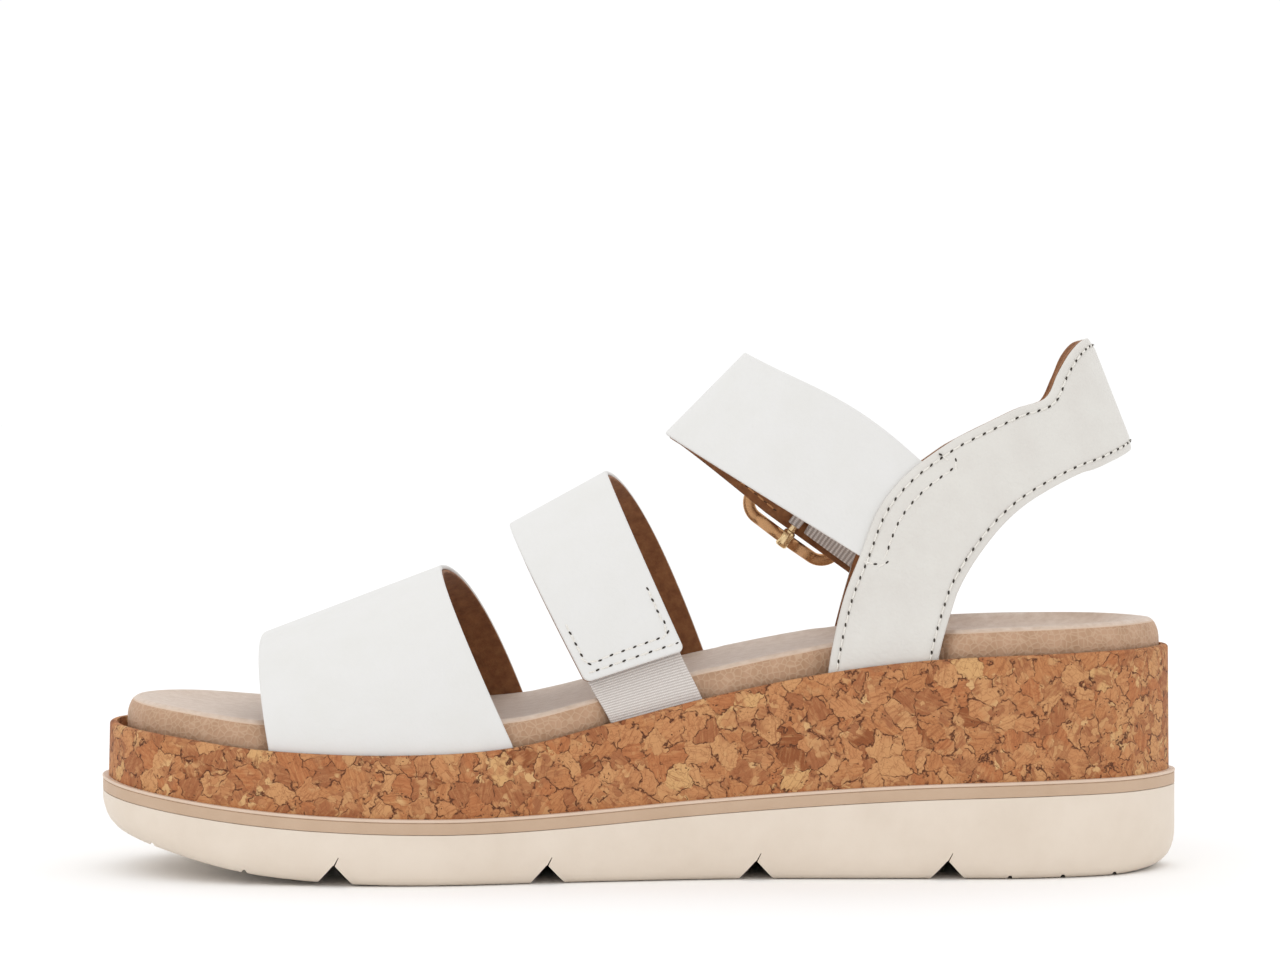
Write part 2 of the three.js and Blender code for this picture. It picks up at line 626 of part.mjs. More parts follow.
function buckleElastic() {
  const inner = barRadius + loopRoom;
  const loop = barLoop(inner, inner + elasticThickness, elasticWidth);
  const rows = [barAt + (inner + 0.3) / HIDDEN, barAt + 0.02, ...steps(barAt + 0.05, barAt + 0.22, 4)];
  const tail = sheet(elasticStrip, rows, 4, elasticFrom, elasticFrom + elasticThickness);
  const slot = new THREE.BoxGeometry(6, prongWidth + 1, 5).translate(-0.4, 0, 0);
  return cut(join(toWorld(loop), tail), toWorld(slot));
}

// Room inside the heel strap's padding for what is sewn between its layers.
const insertRoom = sheet(instepStrap, [-(insertReach + 1) / HIDDEN, 0, 0.05], 1, -0.6, skived + 0.6, 1);
const elasticRoom = sheet(elasticStrip, steps(barAt + 0.03, barAt + 0.23, 5), 3, elasticFrom - 0.6,
  elasticFrom + elasticThickness + 0.6, 1);

// ---- Assembly ----
const finish = (color, roughness, metalness = 0) => new THREE.MeshStandardMaterial({ color, roughness, metalness });
const finishes = {
  rubber: finish(0xe3d5c8, 0.6),
  band: finish(0xc8ab97, 0.55),
  cork: finish(0xb98058, 0.85),
  foam: finish(0xe8dcc8, 0.9),
  board: finish(0xa98a63, 0.9),
  suede: finish(0xc0a084, 0.9),
  leather: finish(0xebe9e6, 0.5),
  lining: finish(0x7a4a2a, 0.85),
  elastic: finish(0xd0c8c1, 0.9),
  brass: finish(0xc79a5b, 0.3, 1),
};

const sandal = new THREE.Group();
function add(name, geometry, material, parent = sandal) {
  const mesh = new THREE.Mesh(geometry, finishes[material]);
  mesh.name = name;
  parent.add(mesh);
  return mesh;
}

const midElastic = (t, w) => midStrap(t, lerp(0.04, 0.96, w));
const slots = [
  slotFor(toeStrap, medialRows, 0, strapThickness),
  slotFor(toeStrap, lateralRows, 0, strapThickness),
  slotFor(midStrap, medialRows, 0, strapThickness + elasticThickness),
  slotFor(midStrap, lateralRows, 0, strapThickness),
  legSlot(MEDIAL),
  legSlot(LATERAL),
];

add('outsole', outsole(), 'rubber');
add('welt_band', weltBand(), 'band');
add('cork_wrap', corkWrap(), 'cork');
add('platform_core', cut(platformCore(), ...slots), 'foam');
add('insole_board', cut(insoleBoard(), ...slots), 'board');
add('footbed_foam', cut(footbedFoam(), ...slots), 'foam');
add('footbed_cover', cut(footbedCover(), ...slots), 'suede');

const liningFrom = leather + bond;
const bothTucked = tucked(-buriedEnd, 1 + buriedEnd, 26);
add('toe_strap_outer', sheet(toeStrap, bothTucked, 4, 0, leather), 'leather');
add('toe_strap_lining', sheet(toeStrap, bothTucked, 4, liningFrom, strapThickness), 'lining');

const midRows = [...steps(midLeatherEnd, 1, 24), 1 + buriedEnd];
add('mid_strap_outer', sheet(midStrap, midRows, 2, 0, leather), 'leather');
add('mid_strap_lining', sheet(midStrap, midRows, 2, liningFrom, strapThickness), 'lining');
add('mid_strap_elastic', sheet(midElastic, [-buriedEnd, ...steps(0, 0.11, 8)], 2, elasticDepth,
  (t) => elasticDepth(t) + elasticThickness), 'elastic');

add('instep_strap_outer', cut(sheet(instepStrap, instepRows, 2, 0, instepLeather), ...punched()), 'leather');
add('instep_strap_lining', cut(sheet(instepStrap, instepRows.filter((t) => t > liningStart), 2, liningFrom,
  strapThickness), ...punched()), 'lining');

const fillFrom = leather + (quarterFill - quarterCore) / 2;
const padding = sheet(heelStrap, heelRows, 5, fillFrom, fillFrom + quarterCore, -1.5);
add('heel_strap_outer', sheet(heelStrap, heelRows, 5, 0, leather), 'leather');
add('heel_strap_padding', cut(padding, insertRoom, elasticRoom), 'foam');
add('heel_strap_lining', sheet(heelStrap, heelRows, 5, leather + quarterFill, heelTotal), 'lining');

add('buckle_elastic', buckleElastic(), 'elastic');
sandal.add(buckle);
add('buckle_frame', buckleFrame(), 'brass', buckle);
add('buckle_bar', buckleBar(), 'brass', buckle);
add('buckle_prong', buckleProng(), 'brass', buckle);

export default sandal;
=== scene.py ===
import bmesh
import bpy
import numpy as np
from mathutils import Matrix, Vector


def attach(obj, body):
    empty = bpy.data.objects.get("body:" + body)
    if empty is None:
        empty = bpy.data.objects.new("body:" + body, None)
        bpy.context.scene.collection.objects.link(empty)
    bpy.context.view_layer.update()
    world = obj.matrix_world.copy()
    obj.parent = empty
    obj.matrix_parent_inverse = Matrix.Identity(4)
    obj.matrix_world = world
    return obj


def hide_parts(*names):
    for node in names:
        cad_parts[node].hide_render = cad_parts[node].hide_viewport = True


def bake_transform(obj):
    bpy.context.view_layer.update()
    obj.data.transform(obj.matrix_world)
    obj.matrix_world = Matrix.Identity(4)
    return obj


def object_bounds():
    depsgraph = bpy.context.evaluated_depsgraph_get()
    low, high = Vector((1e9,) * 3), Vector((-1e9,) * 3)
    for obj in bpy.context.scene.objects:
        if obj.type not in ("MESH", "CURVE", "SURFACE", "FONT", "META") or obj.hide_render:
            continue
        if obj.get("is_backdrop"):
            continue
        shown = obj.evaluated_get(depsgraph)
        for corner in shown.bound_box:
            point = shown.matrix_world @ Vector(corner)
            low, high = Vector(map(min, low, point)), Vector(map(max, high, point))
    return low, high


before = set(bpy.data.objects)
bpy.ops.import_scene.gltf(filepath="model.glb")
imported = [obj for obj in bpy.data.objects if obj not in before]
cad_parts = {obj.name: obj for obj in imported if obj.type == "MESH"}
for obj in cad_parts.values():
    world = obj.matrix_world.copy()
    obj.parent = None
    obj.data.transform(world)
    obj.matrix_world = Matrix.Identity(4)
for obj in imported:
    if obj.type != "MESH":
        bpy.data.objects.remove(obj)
CAD_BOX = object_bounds()

MM = 0.001
MEDIAL = -1
LATERAL = 1

# ---- Sizes of the sandal, in millimetres ----
SOLE_LENGTH = 258
BALL_WIDTH = 94
GLUE_LINE = 0.3
BAND_THICKNESS = 3.5
CORK_INSET = 1.4
CORK_LEAN = 0.3
CORK_THICKNESS = 1.7
CORE_DROP = 5
BOARD_THICKNESS = 1.8
FOOTBED_INSET = 4.9
FOOTBED_BACK = 1
FOOTBED_RISE = 6.5
LEATHER = 1.2
LINING = 0.75
BOND = 0.15
STRAP_THICKNESS = LEATHER + BOND + LINING
TUCK = 5
QUARTER_CORE = 1.0
QUARTER_FILL = QUARTER_CORE + 0.6
SKIVED = 0.7
ELASTIC_THICKNESS = 0.8
FRAME_LENGTH = 28.6
FRAME_WIDTH = 34.6
FRAME_BAR = 3
FRAME_THICKNESS = 1.8
FRAME_CORNER = 6
BAR_RADIUS = 1.0
LOOP_ROOM = 0.15
TILT_ROOM = 0.85


def smoothstep(x, low, high):
    t = np.clip((np.asarray(x, float) - low) / (high - low), 0, 1)
    return t * t * (3 - 2 * t)


def lerp(a, b, t):
    return a + (b - a) * t


def spread(t, w):
    """t and w as arrays of one shape."""
    return np.broadcast_arrays(np.asarray(t, float), np.asarray(w, float))


# ---- Sole outline and heights ----
def profile(points):
    """A smooth height along the sole through [share of the length, height] points."""
    xs = np.array([p[0] for p in points]) * SOLE_LENGTH
    zs = np.array([p[1] for p in points], float)
    slopes = np.array([
        (zs[min(i + 1, len(xs) - 1)] - zs[max(i - 1, 0)]) / (xs[min(i + 1, len(xs) - 1)] - xs[max(i - 1, 0)])
        for i in range(len(xs))])

    def read(x):
        x = np.asarray(x, float)
        i = np.clip(np.searchsorted(xs, x, side="right"), 1, len(xs) - 1)
        span = xs[i] - xs[i - 1]
        t = np.clip((x - xs[i - 1]) / span, 0, 1)
        return (zs[i - 1] * (1 + 2 * t) * (1 - t) ** 2 + zs[i] * t * t * (3 - 2 * t)
                + slopes[i - 1] * span * t * (1 - t) ** 2 - slopes[i] * span * t * t * (1 - t))

    return read


tread = profile([[-0.5, 12], [-0.44, 7.7], [-0.36, 2.9], [-0.28, 0.7], [-0.2, 0], [0, 0], [0.43, 0],
                 [0.47, 0.6], [0.5, 2.2]])
band_bottom = profile([[-0.5, 19.4], [-0.4, 15.7], [-0.3, 13.2], [-0.18, 12.2], [-0.08, 12.9], [0.06, 15.6],
                       [0.23, 18.5], [0.36, 19.6], [0.5, 20]])
cork_top = profile([[-0.5, 35.8], [-0.434, 34.3], [-0.337, 31.4], [-0.217, 30.4], [-0.112, 31.9],
                    [-0.027, 37], [0.062, 42.7], [0.174, 48.5], [0.275, 51.6], [0.41, 53], [0.5, 53.4]])


def ground(x):
    return np.maximum(0, tread(x))


def above(height, amount):
    return lambda x: height(x) + amount


band_top = above(band_bottom, BAND_THICKNESS)
board_top = above(cork_top, GLUE_LINE + BOARD_THICKNESS - CORE_DROP)
rim_top = above(cork_top, FOOTBED_RISE)

PLAN = np.array([
    [-0.496, -0.085], [-0.465, -0.298], [-0.388, -0.436], [-0.271, -0.495], [-0.174, -0.492], [-0.039, -0.41],
    [0.097, -0.35], [0.233, -0.346], [0.368, -0.335], [0.4535, -0.234], [0.5, 0.0], [0.457, 0.223],
    [0.368, 0.351], [0.233, 0.394], [0.0775, 0.447], [-0.097, 0.5], [-0.233, 0.505], [-0.349, 0.447],
    [-0.434, 0.319], [-0.4845, 0.128]]) * [SOLE_LENGTH, BALL_WIDTH]


def smooth_line(points, ks, closed=False):
    """Centripetal Catmull-Rom curve through points, read at ks from 0 to 1."""
    points = np.asarray(points, float)
    count = len(points)
    if closed:
        padded = np.vstack([points[-1:], points, points[:2]])
        spans = count
    else:
        padded = np.vstack([2 * points[0] - points[1], points, 2 * points[-1] - points[-2]])
        spans = count - 1
    place = np.clip(np.asarray(ks, float), 0, 1) * spans
    i = np.minimum(place.astype(int), spans - 1)
    t = (place - i)[..., None]
    p0, p1, p2, p3 = (padded[i + k] for k in range(4))
    d0, d1, d2 = (np.linalg.norm(b - a, axis=-1, keepdims=True) ** 0.5 for a, b in ((p0, p1), (p1, p2), (p2, p3)))
    m1 = ((p1 - p0) / d0 - (p2 - p0) / (d0 + d1) + (p2 - p1) / d1) * d1
    m2 = ((p2 - p1) / d1 - (p3 - p1) / (d1 + d2) + (p3 - p2) / d2) * d1
    return p1 + m1 * t + (-3 * p1 + 3 * p2 - 2 * m1 - m2) * t ** 2 + (2 * p1 - 2 * p2 + m1 + m2) * t ** 3


PLAN_SAMPLES = 1600
plan_curve = smooth_line(PLAN, np.arange(PLAN_SAMPLES) / PLAN_SAMPLES, closed=True)
run = np.roll(plan_curve, -1, 0) - np.roll(plan_curve, 1, 0)
run /= np.linalg.norm(run, axis=1, keepdims=True)
plan_inward = np.stack([-run[:, 1], run[:, 0]], 1)
outlines = {}


def outline(inset):
    """The plan outline pulled in by inset: its toe and heel, and y along each side."""
    key = round(float(inset), 4)
    if key not in outlines:
        pulled = plan_curve + plan_inward * inset
        toe, heel = pulled[:, 0].argmin(), pulled[:, 0].argmax()
        sides = {}
        for side, a, b in ((MEDIAL, toe, heel), (LATERAL, heel, toe)):
            line = pulled[(a + np.arange((b - a) % PLAN_SAMPLES + 1)) % PLAN_SAMPLES]
            sides[side] = line[line[:, 0].argsort()]
        outlines[key] = pulled[toe, 0], pulled[heel, 0], sides
    return outlines[key]


def side_y(inset, side, x):
    line = outline(inset)[2][side]
    return np.interp(x, line[:, 0], line[:, 1])


# ---- Meshes ----
def put(name, data):
    """A new object in the scene with that mesh, light or camera."""
    made = bpy.data.objects.new(name, data)
    bpy.context.scene.collection.objects.link(made)
    return made


def make_mesh(name, points, faces, materials, slots=None, uvs=None, sharp=40):
    mesh = bpy.data.meshes.new(name)
    mesh.from_pydata((np.asarray(points) * MM).tolist(), [], [tuple(f) for f in faces])
    for material in materials:
        mesh.materials.append(material)
    if slots is not None:
        mesh.polygons.foreach_set("material_index", np.asarray(slots, np.int32))
    if uvs is not None:
        corners = np.zeros(len(mesh.loops), np.int32)
        mesh.loops.foreach_get("vertex_index", corners)
        mesh.uv_layers.new(name="Flat").data.foreach_set("uv", np.asarray(uvs, np.float32)[corners].ravel())
    piece = put(name, mesh)
    weld(mesh, sharp)
    return piece


def weld(mesh, sharp):
    """Merges doubles, drops what collapses and shades smooth between sharp edges."""
    bm = bmesh.new()
    bm.from_mesh(mesh)
    bmesh.ops.remove_doubles(bm, verts=bm.verts, dist=1e-6)
    bmesh.ops.dissolve_degenerate(bm, edges=bm.edges, dist=1e-7)
    bm.to_mesh(mesh)
    bm.free()
    mesh.shade_smooth()
    mesh.set_sharp_from_angle(angle=np.radians(sharp))


def recalculate(mesh):
    """Turns every face outwards."""
    bm = bmesh.new()
    bm.from_mesh(mesh)
    bmesh.ops.recalc_face_normals(bm, faces=bm.faces)
    bm.to_mesh(mesh)
    bm.free()


def apply_modifiers(piece):
    graph = bpy.context.evaluated_depsgraph_get()
    mesh = bpy.data.meshes.new_from_object(piece.evaluated_get(graph))
    piece.modifiers.clear()
    piece.data = mesh
    return piece


def cut_away(piece, *cutters, sharp, solver="EXACT"):
    """Takes each cutter's volume out of piece and throws the cutters away."""
    for cutter in cutters:
        modifier = piece.modifiers.new("cut", "BOOLEAN")
        modifier.operation = "DIFFERENCE"
        modifier.solver = solver
        modifier.object = cutter
    apply_modifiers(piece)
    for cutter in cutters:
        bpy.data.objects.remove(cutter)
    weld(piece.data, sharp)
    return piece


def grid_faces(rows, columns, start=0, wrap=False):
    """Quads over a grid of rows by columns of points; wrap joins the last column to the first."""
    spans = columns if wrap else columns - 1
    i, j = np.meshgrid(np.arange(rows - 1), np.arange(spans), indexing="ij")
    k = (j + 1) % columns
    quads = np.stack([i * columns + j, i * columns + k, (i + 1) * columns + k, (i + 1) * columns + j], -1)
    return quads.reshape(-1, 4) + start


STATIONS = 150
ENDS = 24  # columns across the toe end and the heel end of each ring


def ring(inset, height, shift=0, press=None):
    """One closed line round the sole. Its height may change along it, and press(side, x) pushes it in."""
    toe, heel = outline(inset)[:2]
    share = (1 - np.cos(np.pi * np.arange(STATIONS + 1) / STATIONS)) / 2
    x = lerp(toe + 0.02, heel - 0.02, share)
    lines = []
    for side in (MEDIAL, LATERAL):
        y = side_y(inset, side, x)
        if press is not None:
            y = y - side * press(side, x + shift)
        lines.append(np.stack([x + shift, y, height(x + shift) + 0 * x], 1))
    medial, lateral = lines
    inner = (np.arange(1, ENDS) / ENDS)[:, None]
    heel_end = lerp(medial[-1], lateral[-1], inner)
    toe_end = lerp(lateral[0], medial[0], inner)
    return np.vstack([medial, heel_end, lateral[::-1], toe_end])


def across(line, dip=lambda x, f: 0 * x * f):
    """Points over the inside of a ring, in columns from its medial to its lateral side."""
    medial = line[:STATIONS + 1]
    lateral = line[STATIONS + ENDS:2 * STATIONS + ENDS + 1][::-1]
    f = np.linspace(0, 1, ENDS + 1)
    points = lerp(medial[:, None], lateral[:, None], f[None, :, None])
    points[1:-1, :, 2] -= dip(points[1:-1, :, 0], f[None, :])
    return points


def sole_layer(name, rings, materials, slots=None, top=None, bottom=None):
    """A closed layer of the sole through rings. With no caps, the last ring joins the first."""
    count = len(rings[0])
    loops = list(rings) if top is not None else list(rings) + [rings[0]]
    slots = np.zeros(len(loops) - 1, int) if slots is None else np.asarray(slots)
    points = [np.vstack(loops)]
    faces = [grid_faces(len(loops), count, wrap=True)]
    marks = [np.repeat(slots, count)]
    used = len(loops) * count
    for surface, faces_up, mark in ((top, True, slots[-1]), (bottom, False, slots[0])):
        if surface is None:
            continue
        quads = grid_faces(surface.shape[0], surface.shape[1], used)
        faces.append(quads[:, ::-1] if faces_up else quads)
        points.append(surface.reshape(-1, 3))
        marks.append(np.full(len(quads), mark))
        used += surface.shape[0] * surface.shape[1]
    return make_mesh(name, np.vstack(points), np.vstack(faces), materials, np.concatenate(marks))


def top_edge(inset, height, radius, steps):
    """Rings round a convex top edge, from the wall at inset to the face at height."""
    return [ring(inset + radius - radius * np.cos(a), above(height, -radius + radius * np.sin(a)))
            for a in np.linspace(0, np.pi / 2, steps)]


def bottom_edge(inset, height, radius, steps):
    """Rings round a convex bottom edge, from the underside at height out to the wall at inset."""
    return [ring(inset + radius - radius * np.sin(a), above(height, radius - radius * np.cos(a)))
            for a in np.linspace(0, np.pi / 2, steps)]


def tube(name, loops, material=None, closed=False, sharp=50):
    """A solid through loops of points: a closed ring, or an open tube with its ends filled."""
    count = loops.shape[1]
    loops = np.concatenate([loops, loops[:1]]) if closed else loops
    faces = [list(f) for f in grid_faces(len(loops), count, wrap=True)]
    if not closed:
        last = (len(loops) - 1) * count
        faces += [list(range(count)), list(range(last + count - 1, last - 1, -1))]
    piece = make_mesh(name, loops.reshape(-1, 3), faces, [material] if material else [], sharp=sharp)
    recalculate(piece.data)
    return piece


def crosswise_cutters(name, shares, section):
    """Bars right across the sole with that [x, z] section, to be cut away at those shares of its length."""
    y = 1.5 * BALL_WIDTH
    return [tube(name, np.array([[[x + a, s * y, ground(x) + b] for a, b in section] for s in (-1, 1)]))
            for x in np.array(shares) * SOLE_LENGTH]


GROOVE_SHARES = [-0.273, -0.082, 0.107, 0.281]
GROOVE = [[-5.1, -1], [5.1, -1], [0.3, 4.4], [1.2, 6.4], [1.05, 6.45], [0.05, 4.65], [-0.3, 4.4]]
SIPE_SHARES = [-0.442, -0.355, 0.338, 0.387, 0.436]
SIPE = [[-1.3, -1], [1.3, -1], [0.3, 0.9], [-0.3, 0.9]]
OUTSOLE_FOOT = [[4, 0], [2.6, 0.35], [1.5, 1.3], [0.8, 2.5], [0.3, 4]]  # inset, height over the tread
OUTSOLE_WALL = [[0.06, 5.6, 2.6], [0, 7, 2]]  # inset, height over the tread, least drop from the welt band
WELT_LIP = 0.75
JOINT = 0.02  # what shows between cork and welt band


def make_outsole():
    """The outsole, with V grooves whose tips run on into a fine slanted crease, and sipes between them."""
    rings = [ring(inset, above(ground, rise)) for inset, rise in OUTSOLE_FOOT]
    rings += [ring(inset, lambda x: np.minimum(ground(x) + rise, band_bottom(x) - drop))
              for inset, rise, drop in OUTSOLE_WALL]
    rings += top_edge(0, above(band_bottom, -0.1), 0.16, 3)
    body = sole_layer("outsole_rubber", rings, [finish["rubber"]], top=across(rings[-1]),
                      bottom=across(rings[0]))
    return cut_away(body, *crosswise_cutters("groove", GROOVE_SHARES, GROOVE),
                    *crosswise_cutters("sipe", SIPE_SHARES, SIPE), sharp=30)


def make_welt():
    """The welt band, with a thin lip along its top edge, coloured lighter than the band as a painted highlight."""
    body = bottom_edge(0, band_bottom, 0.14, 3)
    body += [ring(0, above(band_top, -WELT_LIP - 0.15)), ring(0.18, above(band_top, -WELT_LIP))]
    lip = top_edge(-0.12, band_top, 0.34, 5)
    rings = body + [ring(-0.1, above(band_top, 0.12 - WELT_LIP))] + lip
    slots = [0] * len(body) + [1] * len(lip)
    return sole_layer("welt", rings, [finish["band"], finish["lip"]], slots, top=across(rings[-1]),
                      bottom=across(rings[0]))


def make_cork():
    inside = CORK_INSET + CORK_LEAN + CORK_THICKNESS
    foot_line = above(band_top, JOINT)
    rings = [ring(CORK_INSET, foot_line), *top_edge(CORK_INSET + CORK_LEAN, cork_top, 0.9, 6),
             ring(inside, cork_top), ring(inside, foot_line)]
    return sole_layer("cork", rings, [finish["cork"]])


STRAP_INSET = CORK_INSET + CORK_LEAN + CORK_THICKNESS + GLUE_LINE + 0.05
# Where straps go down beside the footbed: side, from, to (shares of the length), how far they press it in.
PRESSED = [
    (MEDIAL, -0.333, -0.112, 1.3), (LATERAL, -0.31, -0.103, 1.3), (MEDIAL, -0.028, 0.062, 1.9),
    (LATERAL, -0.028, 0.071, 1.7), (MEDIAL, 0.168, 0.279, 2.7), (LATERAL, 0.178, 0.279, 2.7)]


def pressed(side, x):
    amount = 0 * x
    for pressed_side, start, end, depth in PRESSED:
        if pressed_side == side:
            a, b = start * SOLE_LENGTH, end * SOLE_LENGTH
            amount = np.maximum(amount, depth * smoothstep(x, a - 3, a - 0.3) * (1 - smoothstep(x, b + 0.3, b + 3)))
    return amount


def heel_cup(x, f):
    """How far the footbed's top sinks between its edges."""
    depth = lerp(1.2, 3.6, smoothstep(x, 0.05 * SOLE_LENGTH, 0.35 * SOLE_LENGTH))
    return depth * (1 - smoothstep(np.abs(x), 0.42 * SOLE_LENGTH, 0.47 * SOLE_LENGTH)) * (1 - (2 * f - 1) ** 4)


# Rings up the footbed: inset, the height they follow and how far above it they are.
FOOTBED_SIDE = [(0.5, board_top, GLUE_LINE), (0, board_top, 1.2), (0, cork_top, 0.8), (0.06, cork_top, 2.0),
                (0.24, cork_top, 3.1), (0.55, rim_top, -2.4), (0.95, rim_top, -1.55), (1.3, rim_top, -1.02)]
FOOTBED_EDGE = [(1.36, rim_top, -0.9), (1.55, rim_top, -0.72)]
FOOTBED_TOP = [(1.9, rim_top, -0.42), (2.4, rim_top, -0.14), (3.1, rim_top, 0)]


def make_footbed():
    """A rolled side and a sueded top sheet whose edge shows as a fine step."""
    rings = [ring(FOOTBED_INSET + inset, above(height, rise), FOOTBED_BACK, pressed)
             for inset, height, rise in FOOTBED_SIDE + FOOTBED_EDGE + FOOTBED_TOP]
    slots = [0] * (len(FOOTBED_SIDE) - 1) + [1] * len(FOOTBED_EDGE) + [2] * len(FOOTBED_TOP)
    return sole_layer("footbed", rings, [finish["footbed_side"], finish["footbed_edge"], finish["suede"]], slots,
                      top=across(rings[-1], heel_cup), bottom=across(rings[0]))


# ---- Sheets: leather, lining and elastic ----
# A strap is a surface point(t, w): t runs over the foot from the medial to the lateral end, 0 to 1, and w
# runs from the front edge, 0, to the rear edge, 1.
HIDDEN = 100  # millimetres per unit of t beyond an end
EDGE_STEPS = np.array([0, 0.05, 0.16, 0.36, 0.65, 1.0, 1.35, 1.7, 2.05, 2.4, 2.8, 3.3, 3.9, 4.6])


def surface_normals(grid):
    """Outward unit normals of a grid of points, rows along t and columns along w."""
    run = np.empty_like(grid)
    run[1:-1] = grid[2:] - grid[:-2]
    run[0], run[-1] = grid[1] - grid[0], grid[-1] - grid[-2]
    side = np.empty_like(grid)
    side[:, 1:-1] = grid[:, 2:] - grid[:, :-2]
    side[:, 0], side[:, -1] = grid[:, 1] - grid[:, 0], grid[:, -1] - grid[:, -2]
    normal = np.cross(side, run)
    return normal / np.maximum(np.linalg.norm(normal, axis=-1, keepdims=True), 1e-9)


def lengths(line):
    """Distance along a line of points, from its start."""
    return np.concatenate([[0], np.cumsum(np.linalg.norm(np.diff(line, axis=0), axis=1))])


def rows_between(point, start, end, spacing, open_start=False, open_end=False):
    """Values of t about spacing apart along the strap, closer together at an end that shows."""
    dense = np.linspace(start, end, 1500)
    run = lengths(point(dense, np.full(1500, 0.5)))
    near = EDGE_STEPS[:9]
    marks = [np.linspace(near[-1], run[-1] - near[-1], max(2, round((run[-1] - 2 * near[-1]) / spacing)))]
    marks.insert(0, near[:-1] if open_start else np.linspace(0, near[-1], 4)[:-1])
    marks.append(run[-1] - near[:-1][::-1] if open_end else run[-1] - np.linspace(0, near[-1], 4)[:-1][::-1])
    return np.interp(np.concatenate(marks), run, dense)


def columns_of(width, middle):
    """Shares across a strap of that width, closer together near both edges."""
    near = EDGE_STEPS * min(1, 0.42 * width / EDGE_STEPS[-1])
    return np.concatenate([near, np.linspace(near[-1], width - near[-1], middle)[1:-1], width - near[::-1]]) / width


def strap_grid(point, ts, middle=14, margin=0, corner_start=0, corner_end=0):
    """Points of a strap, and each point's distance along it and from its nearest edge or open end."""
    ts = np.asarray(ts, float)
    run = lengths(point(ts, np.full(len(ts), 0.5)))
    grid, edge = [], []
    for i, t in enumerate(ts):
        ends = point(np.array([t, t]), np.array([0.0, 1.0]))
        width = np.linalg.norm(ends[1] - ends[0])
        pull = margin
        for corner, reach in ((corner_start, run[i]), (corner_end, run[-1] - run[i])):
            if corner and reach < corner:
                pull += corner - np.sqrt(corner ** 2 - (corner - reach) ** 2)
        shares = columns_of(width, middle)
        w = lerp(pull / width, 1 - pull / width, shares)
        grid.append(point(np.full(len(w), t), w))
        edge.append(np.minimum(shares, 1 - shares) * (width - 2 * pull))
    along_strap = np.repeat(run[:, None], len(edge[0]), 1)
    edge = np.array(edge)
    if corner_start:
        edge = np.minimum(edge, along_strap)
    if corner_end:
        edge = np.minimum(edge, run[-1] - along_strap)
    edge[0], edge[-1] = 0, 0
    return np.array(grid), along_strap, edge


ROUNDING = 2.6  # over 2, a cut edge is squarer than a half round


def roll(edge, radius):
    """How far a face drops towards the middle of a sheet that close to its edge."""
    share = 1 - np.clip(edge / radius, 0, 1)
    return radius * (1 - (1 - share ** ROUNDING) ** (1 / ROUNDING))


FURROW_DEPTH = 0.15
FURROW_WIDTH = 0.6


def furrow(grid, stitch_rows):
    """A soft furrow in the face along each row of stitches."""
    sunk = np.zeros(grid.shape[:2])
    for row in stitch_rows:
        for block in range(0, len(grid), 24):
            gap = np.linalg.norm(grid[block:block + 24, :, None] - row[None, None], axis=-1).min(-1)
            sunk[block:block + 24] = np.maximum(sunk[block:block + 24],
                                                FURROW_DEPTH * np.exp(-(gap / FURROW_WIDTH) ** 2))
    return sunk


def slab(name, grid, along_strap, edge, outer, inner, material):
    """A closed sheet between two depths under a grid. Both faces meet at its borders."""
    normal = surface_normals(grid)
    outer, inner = (np.broadcast_to(np.asarray(depth, float), edge.shape) for depth in (outer, inner))
    half = (inner - outer) / 2
    drop = np.where(edge < 1e-6, half, roll(edge / (half + 1e-9), 1) * half)
    front = grid - normal * (outer + drop)[..., None]
    back = grid - normal * (inner - drop)[..., None]
    quads = grid_faces(*edge.shape)
    faces = np.vstack([quads, quads[:, ::-1] + edge.size])
    across_strap = np.cumsum(np.pad(np.linalg.norm(np.diff(grid, axis=1), axis=-1), ((0, 0), (1, 0))), 1)
    uv = np.stack([along_strap, across_strap], -1).reshape(-1, 2) * MM
    return make_mesh(name, np.vstack([front.reshape(-1, 3), back.reshape(-1, 3)]), faces, [material],
                     uvs=np.vstack([uv, uv]), sharp=50)


def ribs(run, pitch, depth, edge, fade):
    """How far the face of a ribbed elastic sinks along it, less within fade of an edge."""
    return depth * (1 - np.cos(2 * np.pi * run / pitch)) / 2 * np.minimum(1, edge / fade)


def foot(side, share):
    """Where a strap edge enters the sole, level with the cork's top edge."""
    x = np.asarray(share, float) * SOLE_LENGTH
    return np.stack([x, side_y(STRAP_INSET, side, x), cork_top(x)], -1)


def crest_point(share, rise):
    x = share * SOLE_LENGTH
    return np.array([x, -3, float(cork_top(x)) + rise])


def quarter_arch(t, fullness):
    """How far down and how far out, 0 to 1, a strap is at t on each quarter of a superellipse."""
    angle = np.minimum(np.abs(t - 0.5), 0.5) * np.pi
    return 1 - np.maximum(np.cos(angle), 0) ** (2 / fullness), np.sin(angle) ** (2 / fullness)


LATERAL_BELLY = 0.7  # below 1, the lateral half of a strap bulges back in side view


